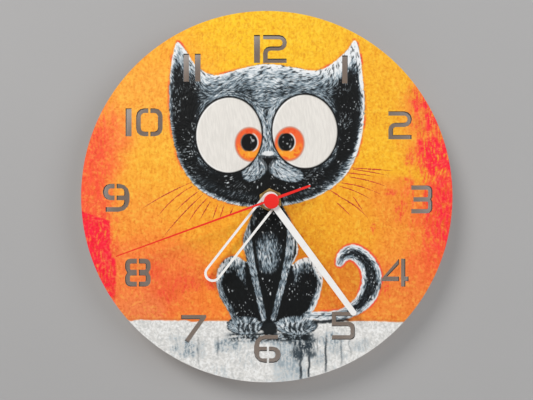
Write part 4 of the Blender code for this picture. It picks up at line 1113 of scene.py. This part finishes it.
MATERIALS = {
    "dial_board": board_material(),
    "white_enamel": enamel("white_enamel_paint", "F4F3F1", "ECEAE7", 0.32),
    "red_enamel": enamel("red_enamel_paint", "EE1A12", "F02818", 0.36),
    "brass": metal("brass_turned", "C9A66B", "A98550", 0.34, size_mm=0.6),
    "steel": metal("zinc_plated_steel", "C9CBCE", "9FA2A6", 0.26),
    "rubber": moulded("black_rubber", "171615", "22201E", 0.82, 0.5, 0.04),
    "black_plastic": moulded("black_moulding", "17181A", "202124", 0.46, 0.30, 0.03),
    "white_plastic": moulded("white_moulding", "E4E2DA", "D8D5CB", 0.42),
    "gear_plastic": moulded("gear_moulding", "D9D3C0", "CBC4AE", 0.38),
    "magnet": metal("sintered_magnet", "4C4C4F", "333336", 0.55, size_mm=0.3),
    "soft_iron": metal("stamped_iron", "9A9B9D", "77787B", 0.36, stretch=(1, 1, 4)),
    "copper_wire": winding_material(),
    "green_board": board_green_material(),
    "black_resin": moulded("poured_resin", "0B0B0C", "141416", 0.22, 1.2, 0.05),
    "nickel": metal("nickel_plate", "CFCBC2", "B3AEA3", 0.22),
    "cell_jacket": cell_material(),
}
PICTURE = picture_material()
WHISKER_PAINT = whisker_material()


def dress_nodes():
    """Every CAD node that stays gets the finished material of its slot."""
    for entry in frame["record"]["subparts"]:
        node = frame["nodes"][entry["node"]]
        material = MATERIALS[entry["material_slot"]]
        if not node.material_slots:
            node.data.materials.append(material)
        for slot in node.material_slots:
            slot.link = "OBJECT"
            slot.material = material


# ---- pieces finer than the CAD ----

def linked(name, data, material=None):
    """New object in the scene."""
    obj = bpy.data.objects.new(name, data)
    bpy.context.scene.collection.objects.link(obj)
    if material:
        data.materials.append(material)
    return obj


def add_piece(name, data, slot, material=None, body=BODY):
    """Visible piece that rides on a body, in the finish of its slot unless it has one of its own."""
    obj = linked(name, data, material or MATERIALS[slot])
    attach(obj, body)
    return obj


def skin(name, rings):
    """Skin over rings of points, all of one length."""
    count = len(rings[0])
    starts = range(0, count * (len(rings) - 1), count)
    faces = [(r + k, r + (k + 1) % count, r + (k + 1) % count + count, r + k + count)
             for r in starts for k in range(count)]
    mesh = bpy.data.meshes.new(name)
    mesh.from_pydata([point for ring in rings for point in ring], [], faces)
    with editing(mesh) as bm:
        bmesh.ops.recalc_face_normals(bm, faces=bm.faces)
    mesh.shade_smooth()
    mesh.set_sharp_from_angle(angle=math.radians(35))
    return mesh


# bush, in metres: flange, thread, bore and its countersink
FLANGE = 1.0 * MM
CREST, ROOT, PITCH = 3.95 * MM, 3.50 * MM, 0.75 * MM
FLANK, ROOT_CUT = 1.35, 0.15  # slope of the thread's flanks, and what its flat root takes of them
BORE, COUNTERSINK = 2.63 * MM, 0.25 * MM
RUNOUT_FRONT, RUNOUT_REAR = 0.5 * MM, 0.6 * MM
BUSH_SIDES, RINGS_PER_PITCH = 72, 6


def bush_ring(depth, radius_at):
    """Ring of points round the bush's axis, with the radius for each share of a turn."""
    ring = []
    for k in range(BUSH_SIDES):
        radius = radius_at(k / BUSH_SIDES)
        turn = 2 * math.pi * k / BUSH_SIDES
        ring.append((radius * math.cos(turn), -depth, radius * math.sin(turn)))
    return ring


def build_threaded_bush():
    """The bush with its real thread, in place of the CAD's plain one."""
    low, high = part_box("threaded_bush")
    front, rear = -low[1], -high[1]
    shoulder = rear + FLANGE

    def plain(radius, depth):
        return bush_ring(depth, lambda share: radius)

    def thread(depth):
        runout = max(0, min((front - depth) / RUNOUT_FRONT, (depth - shoulder) / RUNOUT_REAR, 1))

        def radius(share):
            wave = abs((depth / PITCH - share) % 1 * 2 - 1)
            return ROOT + (CREST - ROOT) * min(1, max(0, FLANK * wave - ROOT_CUT)) * runout

        return bush_ring(depth, radius)

    rings = [plain(BORE, rear), plain(high[0], rear), plain(high[0], shoulder)]
    depth = shoulder
    while depth <= front:
        rings.append(thread(depth))
        depth += PITCH / RINGS_PER_PITCH
    rings += [plain(ROOT, front), plain(BORE + COUNTERSINK, front), plain(BORE, front - COUNTERSINK)]
    rings.append(plain(BORE, rear))
    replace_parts(add_piece("bush_thread", skin("bush_thread", rings), "brass"), "threaded_bush")


SOFT_EDGES_MM = {
    "hex_nut": 0.14, "brass_washer": 0.10, "hour_hand": 0.10, "minute_hand": 0.12, "second_hand": 0.08,
    "second_cap": 0.12, "front_housing": 0.30, "rear_cover": 0.20, "setting_knob": 0.12,
}


def soften_edges():
    """The parts that show, with their edges worn or moulded round, in place of the CAD's sharp ones."""
    bodies = frame["record"]["behaviour"]["bodies"]
    body_of = {node: body for body, nodes in bodies.items() for node in nodes}
    slot_of = {entry["node"]: entry["material_slot"] for entry in frame["record"]["subparts"]}
    for name, width in SOFT_EDGES_MM.items():
        mesh = frame["nodes"][name].data.copy()
        with editing(mesh) as bm:
            bmesh.ops.remove_doubles(bm, verts=bm.verts, dist=WELD)
            bmesh.ops.dissolve_limit(bm, angle_limit=math.radians(0.5), verts=bm.verts, edges=bm.edges)
        mesh.materials.clear()
        obj = add_piece(name + "_soft", mesh, slot_of[name], body=body_of[name])
        bevel = obj.modifiers.new("edge", "BEVEL")
        bevel.width = width * MM
        bevel.segments = 2
        bevel.limit_method = "ANGLE"
        bevel.angle_limit = math.radians(40)
        mesh.shade_smooth()
        mesh.set_sharp_from_angle(angle=math.radians(50))
        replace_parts(obj, name)


# arrows round the setting knob: mm, and degrees from the upright
RIDGE_RADIUS = 0.28
ARROW_RADIUS = 7.6
ARROW_START, ARROW_END, ARROW_TIP = 18, 80, 86
BARB_TURN, BARB_REACH = 70, 1.3
ARROW_POINTS = 13


def add_ridge(name, points):
    """Raised line moulded into the rear of the case, along points (x, z) in mm."""
    curve = bpy.data.curves.new(name, "CURVE")
    curve.dimensions = "3D"
    curve.bevel_depth = RIDGE_RADIUS * MM
    curve.bevel_resolution = 2
    curve.use_fill_caps = True
    line = curve.splines.new("POLY")
    line.points.add(len(points) - 1)
    for spot, (x, z) in zip(line.points, points):
        spot.co = (x * MM, 0.0, z * MM, 1.0)
    add_piece(name, curve, "black_plastic")


def build_knob_arrows():
    """An arrow to each side round the setting knob."""
    low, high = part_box("setting_knob")
    cx, cz = (low[0] + high[0]) / 2 / MM, (low[2] + high[2]) / 2 / MM
    for name, side in (("left", 1), ("right", -1)):

        def spot(degrees, radius=ARROW_RADIUS):
            angle = math.radians(90 + side * degrees)
            return cx + radius * math.cos(angle), cz + radius * math.sin(angle)

        barbs = [spot(BARB_TURN, ARROW_RADIUS + reach) for reach in (BARB_REACH, -BARB_REACH)]
        arc = [spot(turn) for turn in np.linspace(ARROW_START, ARROW_END, ARROW_POINTS)]
        add_ridge(f"arrow_arc_{name}", arc)
        add_ridge(f"arrow_head_{name}", [barbs[0], spot(ARROW_TIP), barbs[1]])


# ---- stage, light and camera ----

def plane(name, centre, size, flat_axis, material):
    """Square plane that faces the viewer (axis 1) or upward (axis 2)."""
    half = size / 2
    corners = [(-half, -half), (half, -half), (half, half), (-half, half)]
    points = [np.insert(corner, flat_axis, 0.0) + centre for corner in corners]
    mesh = bpy.data.meshes.new(name)
    mesh.from_pydata(points, [], [(0, 1, 2, 3)])
    obj = linked(name, mesh, material)
    return obj


def area_light(name, place, size, power, colour=(1, 1, 1)):
    """Disc-shaped light that aims at the middle of the dial."""
    light = bpy.data.lights.new(name, "AREA")
    light.shape = "DISK"
    light.size = size
    light.energy = power
    light.color = colour
    obj = linked(name, light)
    obj.location = place
    aim = Vector((DIAL_X, DIAL_FRONT, DIAL_Z)) - Vector(place)
    obj.rotation_euler = aim.to_track_quat("-Z", "Y").to_euler()


WALL_GAP = 0.4 * MM
WALL_SIZE, WALL_Z = 5.0, 0.9
WALL_GLOW = 0.06  # lights up the wall behind the cut numerals
FLOOR_SIZE, FLOOR_Z = 12.0, -0.62
WORLD_STRENGTH = 0.30


def build_stage():
    """Backdrop just behind the clock, floor, two front lights and two rear ones."""
    paint = one_sided(wall_material("backdrop_paint", "A3A1A0", WALL_GLOW))
    backdrop = plane("backdrop", (0, CAD_BOX[1][1] + WALL_GAP, WALL_Z), WALL_SIZE, 1, paint)
    backdrop.visible_shadow = False
    backdrop.visible_diffuse = False
    backdrop.visible_glossy = False
    plane("floor", (0, 0, FLOOR_Z), FLOOR_SIZE, 2, wall_material("floor_paint", "C9C7C3"))
    area_light("key", (-0.75, -1.15, 1.0), 0.7, 19, (1.0, 0.985, 0.965))
    area_light("fill", (1.0, -1.0, 0.3), 0.9, 7, (0.97, 0.985, 1.0))
    area_light("rear_key", (0.9, 1.3, 0.8), 0.9, 22)
    area_light("rear_fill", (-1.0, 1.1, 0.1), 1.0, 9)
    world = bpy.data.worlds.new("studio")
    world.use_nodes = True
    sky = world.node_tree.nodes["Background"]
    sky.inputs["Color"].default_value = (0.95, 0.97, 1.0, 1.0)
    sky.inputs["Strength"].default_value = WORLD_STRENGTH
    bpy.context.scene.world = world


CAMERA_DISTANCE = 0.403
FIELD_OF_VIEW = math.radians(48)
CAMERA_ASIDE, CAMERA_UP = -0.0002, -0.0023  # camera from the disc's centre
SENSOR_MM = 36.0


def build_camera():
    """Camera square in front of the dial."""
    data = bpy.data.cameras.new("camera")
    data.sensor_width = SENSOR_MM
    data.lens = SENSOR_MM / 2 / math.tan(FIELD_OF_VIEW / 2)
    data.clip_start = 0.01
    data.clip_end = 50
    camera = linked("camera", data)
    camera.location = (DIAL_X + CAMERA_ASIDE, DIAL_FRONT - CAMERA_DISTANCE, DIAL_Z + CAMERA_UP)
    camera.rotation_euler = (math.radians(90), 0, 0)
    bpy.context.scene.camera = camera
    bpy.context.scene.view_settings.view_transform = "Standard"


build_camera()
build_stage()
dress_nodes()
soften_edges()
build_whiskers(build_dial_picture())
build_threaded_bush()
build_knob_arrows()
